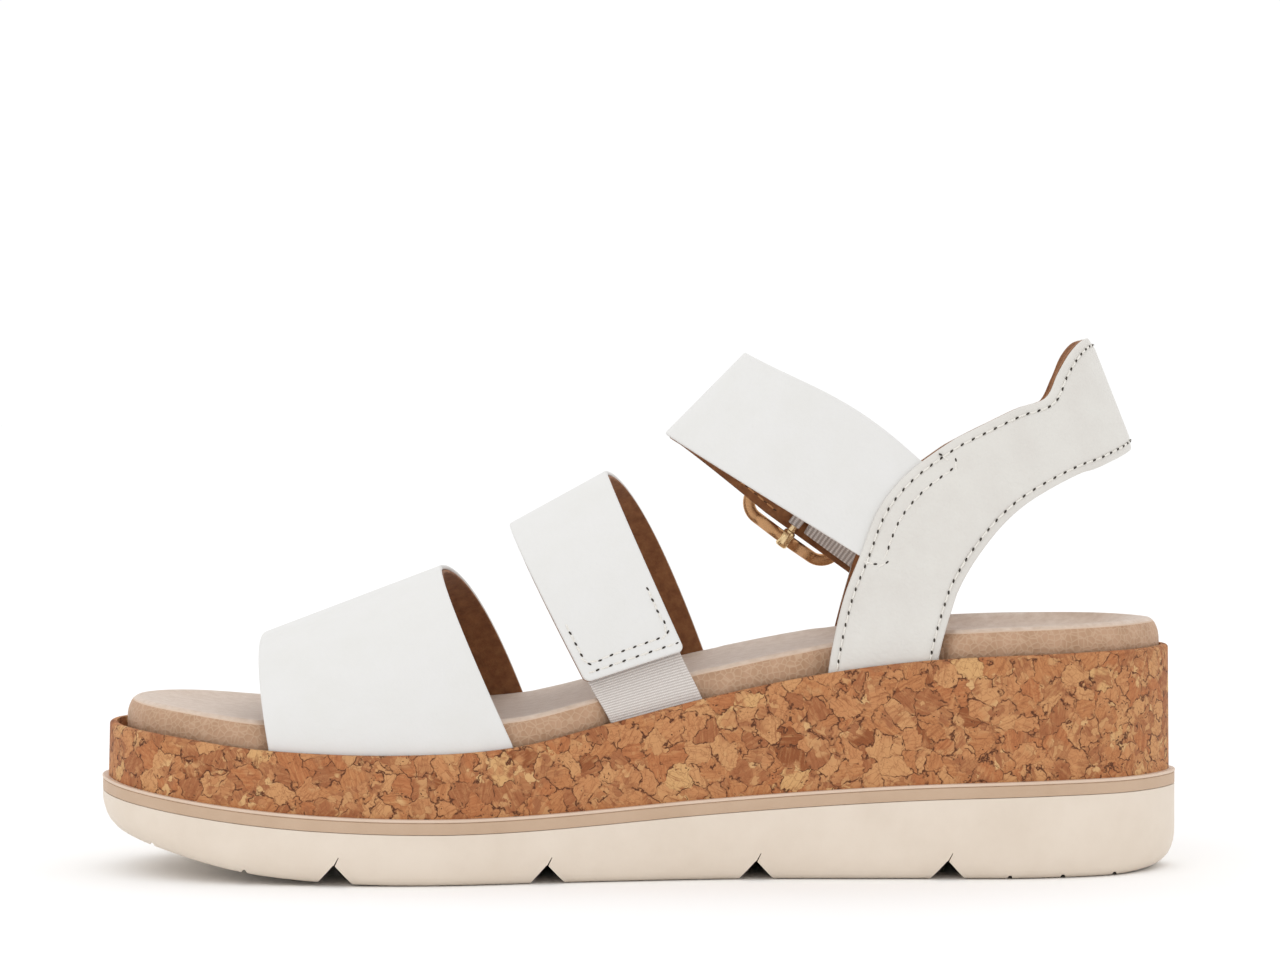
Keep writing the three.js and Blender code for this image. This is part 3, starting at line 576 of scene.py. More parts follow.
def arch_strap(medial, lateral, crest, fullness):
    """A strap whose edges rise from each foot to the crest as quarters of a superellipse."""
    front, rear = crest_point(*crest[0]), crest_point(*crest[1])

    def point(t, w):
        t, w = spread(t, w)
        top = lerp(front, rear, w[..., None])
        low = np.where((t < 0.5)[..., None], foot(MEDIAL, lerp(*medial, w)), foot(LATERAL, lerp(*lateral, w)))
        down, out = quarter_arch(t, fullness)
        buried = HIDDEN * np.maximum(0, np.maximum(-t, t - 1))
        return np.stack([lerp(top[..., 0], low[..., 0], np.where(t < 0.5, down, down ** LATERAL_BELLY)),
                         lerp(top[..., 1], low[..., 1], out), lerp(top[..., 2], low[..., 2], down) - buried], -1)

    return point


toe_strap = arch_strap([-0.333, -0.112], [-0.31, -0.103], [[-0.349, 24.4], [-0.183, 41.8]], 2.3)
mid_strap = arch_strap([-0.028, 0.062], [-0.028, 0.071], [[-0.12, 50.6], [-0.03, 58.2]], 2.2)
GUSSET_RIB = 0.62  # rib pitch of the middle strap's elastic
MID_LEATHER_END = 0.058  # medial end of the middle strap's leather, above its elastic
BURIED_END = TUCK / HIDDEN


def mid_elastic(t, w):
    return mid_strap(t, lerp(0.04, 0.96, w))


# ---- Heel form and heel strap ----
# The heel strap's pattern is drawn flat in [s, h]: s goes back from where the sides start to curve in, and
# h goes up from the heel seat.
HEEL_SEAT = float(cork_top(0.41 * SOLE_LENGTH))
FORM_START = 0.29 * SOLE_LENGTH
QUARTER_TURN = 55  # s at the middle of the back


def form_reach(h):
    return np.minimum(46, 44 - 0.396 * (h - 47.5))


def form_half(side, x, h):
    """Half the heel form's width on one side."""
    low = np.abs(side_y(STRAP_INSET, side, np.minimum(x, FORM_START)))
    return lerp(low, 28 - 0.045 * h, smoothstep(h, -2, 18))


def form_point(side, s, h):
    angle = np.maximum(s, 0) / QUARTER_TURN * np.pi / 2
    x = FORM_START + np.where(s > 0, form_reach(h) * np.sin(angle), s)
    return np.stack([x, side * form_half(side, x, h) * np.cos(angle), HEEL_SEAT + h], -1)


def form_y(side, x, z):
    """y of the heel form's surface at x and z."""
    h = z - HEEL_SEAT
    bend = np.maximum(0, x - FORM_START) / form_reach(h)
    return side * form_half(side, x, h) * np.sqrt(np.maximum(0, 1 - bend * bend))


REAR_LINE = [[-4.3, -1.4 - TUCK], [-4.3, -1.4], [-1.2, 10.3], [1.6, 18], [4.8, 24.3], [8.5, 30], [12.7, 34.6],
             [18.5, 38.7], [25.2, 42], [30, 43.3], [35, 44.7], [40, 45.8], [46, 46.8], [55, 47.5]]
FRONT_LINES = {
    MEDIAL: [[-30.2, -4 - TUCK], [-30.2, -4], [-26.7, 12.6], [-22.7, 23], [-18.5, 33.6], [-12.7, 41.1],
             [-4.5, 47.6], [5, 53.4], [13, 57.4], [20.6, 59.9], [26.3, 65.8], [33, 70.4], [42, 73.3], [55, 74]],
    LATERAL: [[-27.2, -4 - TUCK], [-27.2, -4], [-24, 12.6], [-20.5, 23], [-16.3, 32], [-10.8, 39.2],
              [-3.2, 45.2], [6, 51.2], [14, 55.2], [22, 58], [28, 64.2], [34, 69.6], [42, 73], [55, 74]],
}


def heel_strap(t, w):
    t, w = spread(t, w)
    halves = []
    for side, k in ((MEDIAL, 2 * t), (LATERAL, 2 * (1 - t))):
        spot = lerp(smooth_line(FRONT_LINES[side], k), smooth_line(REAR_LINE, k), w[..., None])
        halves.append(form_point(side, spot[..., 0], spot[..., 1]))
    return np.where((t < 0.5)[..., None], halves[0], halves[1])


# ---- Instep strap ----
CREST_FRONT = crest_point(0.0248, 63.6)
CREST_REAR = crest_point(0.0992, 78.6)
MEDIAL_RUN = np.array([0.85, 0, -0.527])
LATERAL_RUN = np.array([0.81, 0, -0.586])
LATERAL_HANG = np.array([-1.17, 0, -1.62])  # how far the lateral end hangs below its straight run
MEDIAL_REACH = 51  # crest to the heel strap's edge
LATERAL_REACH = 30  # crest to where the strap runs flat
BAR_REACH = 7.5  # from there to the buckle's centre bar
TAIL_REACH = 41.5  # centre bar to the strap's tip
INSERT_REACH = 8  # medial end inside the heel strap
INSERT_DEPTH = LEATHER + (QUARTER_FILL - SKIVED) / 2
OVERLAP = STRAP_THICKNESS + 0.8  # the strap's outer face over the heel strap's outer face
FLAT_REACH = 26
REAR_BELLY = 2.6
FLAT_START = 29.3
FLAT_SLOPE = 0.05
INSTEP_FULLNESS = 2.2


def instep_edge(crest, rear):
    """An edge of the strap, with ends square to their runs and a flat run that settles on the heel strap."""
    def square(run):
        return float((CREST_REAR - CREST_FRONT) @ run) * (-0.5 if rear else 0.5)

    def half(t, medial):
        side, run, raised = (MEDIAL, MEDIAL_RUN, -INSERT_DEPTH) if medial else (LATERAL, LATERAL_RUN, OVERLAP)
        reach = (MEDIAL_REACH if medial else LATERAL_REACH) + square(run)
        hang = 0 if medial else LATERAL_HANG
        end = crest + run * reach + hang
        extra = HIDDEN * np.maximum(0, np.maximum(-t, t - 1))
        spot = crest + run * (reach + extra[..., None]) + hang
        resting = form_y(side, spot[..., 0], spot[..., 2]) + side * raised
        flat_y = form_y(side, end[0], end[2]) + side * raised if medial else FLAT_START
        beyond_y = resting if medial else lerp(
            FLAT_START + FLAT_SLOPE * extra, resting, smoothstep(extra, FLAT_REACH, FLAT_REACH + 10))
        down, out = quarter_arch(t, INSTEP_FULLNESS)
        belly = REAR_BELLY * np.sin(np.pi * down ** 1.4) if medial and rear else 0
        arch = np.stack([lerp(crest[0], end[0], down), lerp(crest[1], flat_y, out),
                         lerp(crest[2], end[2], down) + belly], -1)
        beyond = np.stack([spot[..., 0], beyond_y + 0 * extra, spot[..., 2]], -1)
        return np.where((extra > 0)[..., None], beyond, arch)

    return lambda t: np.where((t < 0.5)[..., None], half(t, True), half(t, False))


instep_front = instep_edge(CREST_FRONT, False)
instep_rear = instep_edge(CREST_REAR, True)


def instep_strap(t, w):
    t, w = spread(t, w)
    return lerp(instep_front(t), instep_rear(t), w[..., None])


# ---- Buckle's own frame: x along the strap to its tip, y to its lower edge, z out of it ----
BAR_TO_STRAP = 2.3
BOW_LIFT = BAR_TO_STRAP + STRAP_THICKNESS + TILT_ROOM + FRAME_THICKNESS / 2
END_BAR = FRAME_LENGTH / 2 - FRAME_BAR / 2
SIDE_BAR = FRAME_WIDTH / 2 - FRAME_BAR / 2
BAR_AT = 1 + BAR_REACH / HIDDEN
ELASTIC_WIDTH = 24
ELASTIC_FROM = LEATHER + (QUARTER_FILL - ELASTIC_THICKNESS) / 2 - 0.1
PRONG_WIDTH = 2.2
PRONG_THICKNESS = 0.95
SPARE_HOLES = [8.6, 17.6]


def unit(vector):
    return vector / np.linalg.norm(vector)


BUCKLE_RUN = unit(instep_strap(BAR_AT + 0.08, 0.5) - instep_strap(BAR_AT - 0.08, 0.5))
BUCKLE_OUT = unit(np.cross(instep_strap(BAR_AT, 1.0) - instep_strap(BAR_AT, 0.0), BUCKLE_RUN))
BUCKLE_DOWN = np.cross(BUCKLE_OUT, BUCKLE_RUN)
BUCKLE_AT = instep_strap(BAR_AT, 0.5) - BUCKLE_OUT * (BAR_TO_STRAP + STRAP_THICKNESS)


def on_buckle(points):
    """Points of the buckle's own frame, placed on the sandal."""
    points = np.asarray(points, float)
    return BUCKLE_AT + points[..., :1] * BUCKLE_RUN + points[..., 1:2] * BUCKLE_DOWN + points[..., 2:] * BUCKLE_OUT


def bow(x):
    return BOW_LIFT * smoothstep(np.abs(x), 1.7, 9)


def elastic_strip(t, w):
    """The buckle's elastic, which settles on to the heel strap behind the bar."""
    t, w = spread(t, w)
    full = np.linalg.norm(instep_strap(t, 0 * t) - instep_strap(t, 0 * t + 1), axis=-1)
    share = (1 - ELASTIC_WIDTH / full) / 2
    p = instep_strap(t, lerp(share, 1 - share, w))
    settled = smoothstep(t, BAR_AT + 0.02, BAR_AT + 0.1)
    y = lerp(p[..., 1] - OVERLAP, form_y(LATERAL, p[..., 0], p[..., 2]), settled)
    return np.stack([p[..., 0], y, p[..., 2]], -1)


# ---- Buckle pieces ----
def soft_box(width, height, squareness, count):
    """A rounded rectangular section."""
    a = np.arange(count) / count * 2 * np.pi
    c, s = np.cos(a), np.sin(a)
    return np.stack([width / 2 * np.sign(c) * np.abs(c) ** (2 / squareness),
                     height / 2 * np.sign(s) * np.abs(s) ** (2 / squareness)], 1)


def make_buckle_frame():
    """A thick stamped ring, bowed so that its ends stand over the strap."""
    length, width, corner = END_BAR, SIDE_BAR, FRAME_CORNER - FRAME_BAR / 2
    corners = [(length - corner, width - corner, 0), (corner - length, width - corner, 90),
               (corner - length, corner - width, 180), (length - corner, corner - width, 270)]
    path, out = [], []
    for (x, y, turn), (next_x, next_y, next_turn) in zip(corners, corners[1:] + corners[:1]):
        for a in np.radians(turn + np.linspace(0, 90, 13)):
            path.append([x + corner * np.cos(a), y + corner * np.sin(a)])
            out.append([np.cos(a), np.sin(a)])
        a = np.radians(next_turn)
        start, end = np.array(path[-1]), np.array([next_x + corner * np.cos(a), next_y + corner * np.sin(a)])
        for share in np.arange(1, 14) / 14:
            path.append(lerp(start, end, share))
            out.append([np.cos(a), np.sin(a)])
    path, out = np.array(path), np.array(out)
    section = soft_box(FRAME_BAR, FRAME_THICKNESS, 3.2, 20)
    grid = path[:, None] + out[:, None] * section[None, :, :1]
    lifted = np.concatenate([grid, (bow(grid[..., 0]) + section[None, :, 1])[..., None]], -1)
    return tube("buckle_frame_metal", on_buckle(lifted), finish["bronze"], closed=True, sharp=60)


# The bar's crimped end: distance out from the frame's middle line, and radius.
CRIMP = [(2.3, 0.4), (2.25, 1.15), (1.95, 1.55), (1.3, 1.72), (-1.3, 1.72), (-1.95, 1.6), (-2.25, 1.35),
         (-2.4, BAR_RADIUS)]


def make_buckle_bar():
    """The centre pin, with an end crimped round each side of the frame."""
    a = np.arange(24) / 24 * 2 * np.pi
    stations = [(-SIDE_BAR - out, radius) for out, radius in CRIMP]
    stations += [(-y, radius) for y, radius in stations[::-1]]
    grid = [np.stack([radius * np.cos(a) * 0.95, y + 0 * a, radius * np.sin(a)], 1) for y, radius in stations]
    return tube("buckle_bar_metal", on_buckle(grid), finish["bright_bronze"])


def make_prong():
    """A strip curled round the bar whose arm comes up through the strap and rests on the frame's end."""
    rest = BOW_LIFT + FRAME_THICKNESS / 2 + 0.3 + PRONG_THICKNESS / 2
    radius = BAR_RADIUS + LOOP_ROOM + PRONG_THICKNESS / 2
    curl = [[radius * np.cos(a), radius * np.sin(a)] for a in np.radians(np.linspace(150, -170, 26))]
    arm = smooth_line([curl[-1], [-1.75, 1.6], [-2.0, 3.0], [-2.7, 4.4], [-4.4, 5.8], [-8, rest - 0.5],
                       [-END_BAR, rest], [-END_BAR - 1.7, rest - 0.1]], np.linspace(0, 1, 50))
    line = np.vstack([curl, arm[1:]])
    path = np.stack([line[:, 0], 0 * line[:, 0], line[:, 1]], 1)
    run = np.gradient(path, axis=0)
    run /= np.linalg.norm(run, axis=1, keepdims=True)
    side = np.tile([0.0, 1.0, 0.0], (len(path), 1))
    up = np.cross(run, side)
    taper = np.interp(np.arange(len(path)), [0, len(path) - 8, len(path) - 1], [1, 1, 0.72])[:, None]
    section = soft_box(PRONG_WIDTH, PRONG_THICKNESS, 3.4, 16)
    grid = path[:, None] + (side * taper)[:, None] * section[None, :, :1] + up[:, None] * section[None, :, 1:]
    return tube("prong_metal", on_buckle(grid), finish["bright_bronze"])


TAIL_ROWS = 150
LOOP_ROWS = 60
LOOP_RIB = 1.05  # rib pitch of the buckle's elastic
PRONG_ROOM = 1.0  # how much wider than the prong its slots are
SLOT_LENGTH = 5.2  # in the strap
HOLE_RADIUS = 1.3
PUNCHED = (0.2, 6.4)  # heights over the bar that the strap lies between


def punch(hole, low, high):
    """A cutter for a hole of that outline through what lies between two heights over the bar."""
    return tube("punch", on_buckle([np.column_stack([hole, np.full(len(hole), z)]) for z in (low, high)]))


def make_buckle_elastic():
    """A ribbed elastic that is folded round the bar and goes in between the heel strap's layers."""
    radius = BAR_RADIUS + LOOP_ROOM + ELASTIC_THICKNESS / 2
    w = np.interp(np.linspace(0, 1, 41), [0, 0.1, 0.9, 1], [0, 0.03, 0.97, 1])
    tail_t = np.linspace(BAR_AT + 0.22, BAR_AT + 0.03, TAIL_ROWS)
    tail = elastic_strip(tail_t[:, None], w[None, :])
    normal = surface_normals(tail) * -1
    middle = tail - normal * (ELASTIC_FROM + ELASTIC_THICKNESS / 2)
    loop = [on_buckle(np.stack([0 * w + radius * np.cos(a), (w - 0.5) * ELASTIC_WIDTH, 0 * w + radius * np.sin(a)],
                               1)) for a in np.radians(np.linspace(48, 312, LOOP_ROWS))]
    ply = ELASTIC_THICKNESS / 4
    centre = np.concatenate([middle + normal * ply, loop, (middle - normal * ply)[::-1]])
    half = np.concatenate([np.full(TAIL_ROWS, ply), np.full(LOOP_ROWS, ELASTIC_THICKNESS / 2),
                           np.full(TAIL_ROWS, ply)])
    half = np.convolve(np.pad(half, 10, mode="edge"), np.ones(21) / 21, "valid")
    edge = np.minimum(w, 1 - w)[None, :] * ELASTIC_WIDTH + 0 * half[:, None]
    edge[0], edge[-1] = 0, 0
    along_strip = np.repeat(lengths(centre[:, 20])[:, None], len(w), 1)
    rib = ribs(along_strip, LOOP_RIB, 0.13, edge, 0.6)
    piece = slab("buckle_elastic_knit", centre, along_strip, edge, rib - half[:, None], half[:, None] - rib,
                 finish["knit"])
    recalculate(piece.data)
    slot = soft_box(6, PRONG_WIDTH + PRONG_ROOM, 6, 28) + [-0.4, 0]
    return cut_away(piece, punch(slot, -2.5, 2.5), sharp=50, solver="MANIFOLD")


# ---- Stitches ----
def seam(point, border_share, ts, insets, depth=0.0, flip=1):
    """A row of stitches on a strap's face: its points and outward normals, each inset from one edge."""
    ts, insets = np.broadcast_arrays(np.asarray(ts, float), np.asarray(insets, float))
    dense = np.linspace(ts.min() - 0.06, ts.max() + 0.06, 500)
    border = point(dense, np.full(500, float(border_share)))
    shares = np.linspace(border_share, 0.5, 50)
    w = np.empty(len(ts))
    for i, t in enumerate(ts):
        faces = point(np.full(50, t), shares)
        gap = np.linalg.norm(faces[:, None] - border[None], axis=-1).min(1)
        w[i] = np.interp(insets[i], np.maximum.accumulate(gap), shares)
    return on_face(point, ts, w, depth, flip)


def on_face(point, ts, w, depth=0.0, flip=1):
    run = point(ts + 0.002, w) - point(ts - 0.002, w)
    side = point(ts, w + 0.01) - point(ts, w - 0.01)
    normal = np.cross(side, run)
    normal /= np.linalg.norm(normal, axis=-1, keepdims=True)
    return point(ts, w) - normal * depth, normal * flip


def node(tree, kind, inputs=(), **settings):
    """Adds a node. Each input is a value or another node's output socket."""
    made = tree.nodes.new(kind)
    for name, value in settings.items():
        setattr(made, name, value)
    for key, value in dict(inputs).items():
        if isinstance(value, bpy.types.NodeSocket):
            tree.links.new(value, made.inputs[key])
        else:
            made.inputs[key].default_value = value
    return made


def times(tree, first, second):
    """One number times another, each a value or a socket."""
    return node(tree, "ShaderNodeMath", {0: first, 1: second}, operation="MULTIPLY").outputs[0]


def new_tree(name, inputs):
    """A Geometry Nodes tree with a geometry in and out, and named inputs for its sizes."""
    tree = bpy.data.node_groups.new(name, "GeometryNodeTree")
    tree.interface.new_socket("Geometry", in_out="INPUT", socket_type="NodeSocketGeometry")
    for label, (kind, value) in inputs.items():
        socket = tree.interface.new_socket(label, in_out="INPUT", socket_type=kind)
        if value is not None:
            socket.default_value = value
    tree.interface.new_socket("Geometry", in_out="OUTPUT", socket_type="NodeSocketGeometry")
    return tree, tree.nodes.new("NodeGroupInput").outputs, tree.nodes.new("NodeGroupOutput").inputs


def run_tree(piece, tree, values):
    """Runs a tree on piece with those input values and keeps the result as a plain mesh."""
    modifier = piece.modifiers.new(tree.name, "NODES")
    modifier.node_group = tree
    for item in tree.interface.items_tree:
        if item.item_type == "SOCKET" and item.in_out == "INPUT" and item.name in values:
            modifier[item.identifier] = values[item.name]
    apply_modifiers(piece)
    piece.data.shade_smooth()
    return piece


def stitch_tree():
    """Thread stitches along a line at an even pitch, and between each two a slanted dark blob in the needle slit,
    painted shade for the needle hole.
    """
    size = "NodeSocketFloat"
    tree, given, result = new_tree("Stitches", {
        "Pitch": (size, 0.0029), "Thread Length": (size, 0.0024), "Thread Radius": (size, 0.00022),
        "Slit Length": (size, 0.0011), "Slit Width": (size, 0.0005), "Slant": (size, 0.2),
        "Thread": ("NodeSocketMaterial", None), "Slit": ("NodeSocketMaterial", None)})
    curve = node(tree, "GeometryNodeMeshToCurve", {"Mesh": given["Geometry"]}).outputs[0]
    points = node(tree, "GeometryNodeResampleCurve", {"Curve": curve, "Length": given["Pitch"]},
                  mode="LENGTH").outputs[0]
    tangent = node(tree, "GeometryNodeInputTangent").outputs[0]
    outward = node(tree, "GeometryNodeInputNamedAttribute", {"Name": "outward"},
                   data_type="FLOAT_VECTOR").outputs[0]
    along_row = node(tree, "FunctionNodeAlignRotationToVector", {"Vector": tangent}, axis="X").outputs[0]
    facing = node(tree, "FunctionNodeAlignRotationToVector", {"Rotation": along_row, "Vector": outward},
                  axis="Z", pivot_axis="X").outputs[0]

    def vector(**parts):
        return node(tree, "ShaderNodeCombineXYZ", parts).outputs[0]

    def at_each_point(shape, material):
        placed = node(tree, "GeometryNodeInstanceOnPoints",
                      {"Points": points, "Instance": shape.outputs[0], "Rotation": facing}).outputs[0]
        real = node(tree, "GeometryNodeRealizeInstances", {"Geometry": placed}).outputs[0]
        return node(tree, "GeometryNodeSetMaterial", {"Geometry": real, "Material": material}).outputs[0]

    dive = times(tree, given["Thread Radius"], -1.1)
    start = vector(X=times(tree, given["Thread Length"], -0.5), Z=dive)
    middle = vector(Z=times(tree, given["Thread Radius"], 1.5))
    end = vector(X=times(tree, given["Thread Length"], 0.5), Z=dive)
    arc = node(tree, "GeometryNodeCurveQuadraticBezier",
               {"Resolution": 5, "Start": start, "Middle": middle, "End": end}).outputs[0]
    circle = node(tree, "GeometryNodeCurvePrimitiveCircle",
                  {"Resolution": 6, "Radius": given["Thread Radius"]}).outputs[0]
    thread = node(tree, "GeometryNodeCurveToMesh", {"Curve": arc, "Profile Curve": circle, "Fill Caps": True})

    # Each needle slit is a squashed dark ball: painted shade where the needle hole is.
    ball = node(tree, "GeometryNodeMeshUVSphere", {"Segments": 8, "Rings": 5, "Radius": 0.5}).outputs[0]
    slit = node(tree, "GeometryNodeTransform", {
        "Geometry": ball, "Translation": vector(X=times(tree, given["Pitch"], 0.5)),
        "Rotation": vector(Z=given["Slant"]),
        "Scale": vector(X=given["Slit Length"], Y=given["Slit Width"], Z=given["Slit Width"])})
    both = node(tree, "GeometryNodeJoinGeometry")
    for shape, material in ((thread, given["Thread"]), (slit, given["Slit"])):
        tree.links.new(at_each_point(shape, material), both.inputs[0])
    tree.links.new(both.outputs[0], result[0])
    return tree


def sew(name, rows, tree, thread, sunk=0.12, **sizes):
    """Stitches along rows of (points, normals), as one piece."""
    points, outward, edges = [], [], []
    for line, normals in rows:
        first = len(points)
        points += list(line - normals * sunk)
        outward += list(normals)
        edges += [(first + i, first + i + 1) for i in range(len(line) - 1)]
    mesh = bpy.data.meshes.new(name)
    mesh.from_pydata((np.array(points) * MM).tolist(), edges, [])
    mesh.attributes.new("outward", "FLOAT_VECTOR", "POINT").data.foreach_set(
        "vector", np.array(outward, np.float32).ravel())
    return run_tree(put(name, mesh), tree, {"Thread": thread, "Slit": finish["slit"], **sizes})


# ---- Finishes ----
def hexed(code):
    """A colour given as six hex digits, as linear red, green, blue and full alpha."""
    parts = [int(code[i:i + 2], 16) / 255 for i in (0, 2, 4)]
    return [p / 12.92 if p <= 0.04045 else ((p + 0.055) / 1.055) ** 2.4 for p in parts] + [1]


def shader(name, colour, roughness, **sockets):
    """A Principled material with its uniform values set, and its tree and shader node."""
    material = bpy.data.materials.new(name)
    material.use_nodes = True
    tree = material.node_tree
    bsdf = tree.nodes["Principled BSDF"]
    bsdf.inputs["Base Color"].default_value = hexed(colour)
    bsdf.inputs["Roughness"].default_value = roughness
    for socket, value in sockets.items():
        bsdf.inputs[socket.replace("_", " ")].default_value = value
    return material, tree, bsdf


def millimetres(tree, stretch=(1, 1, 1)):
    """Object coordinates in millimetres."""
    place = node(tree, "ShaderNodeTexCoord").outputs["Object"]
    return node(tree, "ShaderNodeMapping", {"Vector": place, "Scale": [s / MM for s in stretch]}).outputs[0]


def noise(tree, vector, size, detail=3, roughness=0.55):
    """Noise whose blotches are about size millimetres across."""
    return node(tree, "ShaderNodeTexNoise", {"Vector": vector, "Scale": 1 / size, "Detail": detail,
                                             "Roughness": roughness}).outputs["Fac"]


def remap(tree, value, low, high, to_low, to_high):
    return node(tree, "ShaderNodeMapRange", {"Value": value, "From Min": low, "From Max": high,
                                             "To Min": to_low, "To Max": to_high}).outputs["Result"]


def blend_colours(tree, share, first, second):
    """Mixes two colours, each six hex digits or a socket."""
    made = node(tree, "ShaderNodeMix", data_type="RGBA", blend_type="MIX")
    for key, value in ((0, share), (6, first), (7, second)):
        if isinstance(value, bpy.types.NodeSocket):
            tree.links.new(value, made.inputs[key])
        else:
            made.inputs[key].default_value = hexed(value) if isinstance(value, str) else value
    return made.outputs[2]


def raise_grain(tree, bsdf, height, depth, strength):
    """Raises the surface by height (0 to 1) times depth millimetres, on top of any grain it has."""
    under = bsdf.inputs["Normal"].links
    inputs = {"Height": height, "Distance": depth * MM, "Strength": strength}
    if under:
        inputs["Normal"] = under[0].from_socket
    tree.links.new(node(tree, "ShaderNodeBump", inputs).outputs[0], bsdf.inputs["Normal"])


def cells(tree, vector, size, feature="F1"):
    """Voronoi cells about size millimetres across."""
    return node(tree, "ShaderNodeTexVoronoi", {"Vector": vector, "Scale": 1 / size, "Randomness": 1.0},
                feature=feature)


def patches(tree, place, size, detail=3, low=0.35, high=0.7, roughness=0.55):
    """Soft patches about size millimetres across, as a share from 0 to 1."""
    return remap(tree, noise(tree, place, size, detail, roughness), low, high, 0, 1)


def paint(tree, bsdf, share, light, dark):
    """Colours the material from light to dark by share."""
    tree.links.new(blend_colours(tree, share, light, dark), bsdf.inputs["Base Color"])


def uneven_gloss(tree, bsdf, value, least, most):
    """Lets the roughness wander between two amounts."""
    tree.links.new(remap(tree, value, 0.3, 0.7, least, most), bsdf.inputs["Roughness"])


def leather_finish(name, light, dark, roughness, coat=0.0, pebble=0.05):
    """Full-grain leather: fine pebbles, faint mottling and uneven gloss."""
    material, tree, bsdf = shader(name, light, roughness, Coat_Weight=coat, Coat_Roughness=0.35)
    place = millimetres(tree)
    paint(tree, bsdf, patches(tree, place, 9, 4), light, dark)
    uneven_gloss(tree, bsdf, noise(tree, place, 3), roughness - 0.06, roughness + 0.08)
    raise_grain(tree, bsdf, noise(tree, place, 7, 2), 0.06, 0.5)
    raise_grain(tree, bsdf, cells(tree, place, 0.8, "SMOOTH_F1").outputs["Distance"], pebble, 0.6)
    raise_grain(tree, bsdf, noise(tree, place, 0.3, 2), 0.02, 0.6)
    return material


def napped_finish(name, light, dark, nap, roughness=0.92, sheen=0.25):
    """Suede or rough lining: a mottled nap of short fibres."""
    material, tree, bsdf = shader(name, light, roughness, Sheen_Weight=sheen, Sheen_Roughness=0.5)
    place = millimetres(tree)
    paint(tree, bsdf, patches(tree, place, nap * 6, 5, 0.32, 0.68, 0.65), light, dark)
    raise_grain(tree, bsdf, noise(tree, place, nap, 4, 0.7), 0.12, 0.8)
    return material


def rubber_finish(name, light, dark, roughness):
    """Moulded rubber with a faint scuffed bloom."""
    material, tree, bsdf = shader(name, light, roughness, Specular_IOR_Level=0.4)
    place = millimetres(tree)
    paint(tree, bsdf, patches(tree, place, 14, 5, roughness=0.6), light, dark)
    uneven_gloss(tree, bsdf, noise(tree, place, 5), roughness - 0.07, roughness + 0.1)
    raise_grain(tree, bsdf, noise(tree, place, 0.55, 3, 0.6), 0.04, 0.5)
    raise_grain(tree, bsdf, noise(tree, place, 18, 1), 0.25, 0.4)
    return material


def grained_side_finish():
    """The footbed's side: a pebbled synthetic leather."""
    material, tree, bsdf = shader("footbed_side_leather", "B89579", 0.6)
    place = millimetres(tree)
    pebbles = cells(tree, place, 1.5, "DISTANCE_TO_EDGE").outputs["Distance"]
    colour = blend_colours(tree, patches(tree, place, 5, 4), "B99477", "A88364")
    paint(tree, bsdf, remap(tree, pebbles, 0.0, 0.12, 0.6, 0), colour, "C7A98D")
    raise_grain(tree, bsdf, remap(tree, pebbles, 0, 0.35, 1, 0), 0.12, 0.8)
    raise_grain(tree, bsdf, noise(tree, place, 0.35), 0.04, 0.6)
    return material


CHIP, CRUMB, FLECK = 5.2, 1.9, 0.8  # sizes of the cork's grains, in millimetres
# Shares of the grains at which each tone begins.
CHIP_TONES = [(0, "9F643F"), (0.16, "B4784C"), (0.38, "BD8356"), (0.56, "AF6F45"), (0.72, "C48F60"),
              (0.9, "CDA06C"), (0.95, "8C512E")]
CRUMB_TONES = [(0, "A97149"), (0.3, "B77F54"), (0.55, "9F6642"), (0.75, "C08E60"), (0.94, "CFA472")]


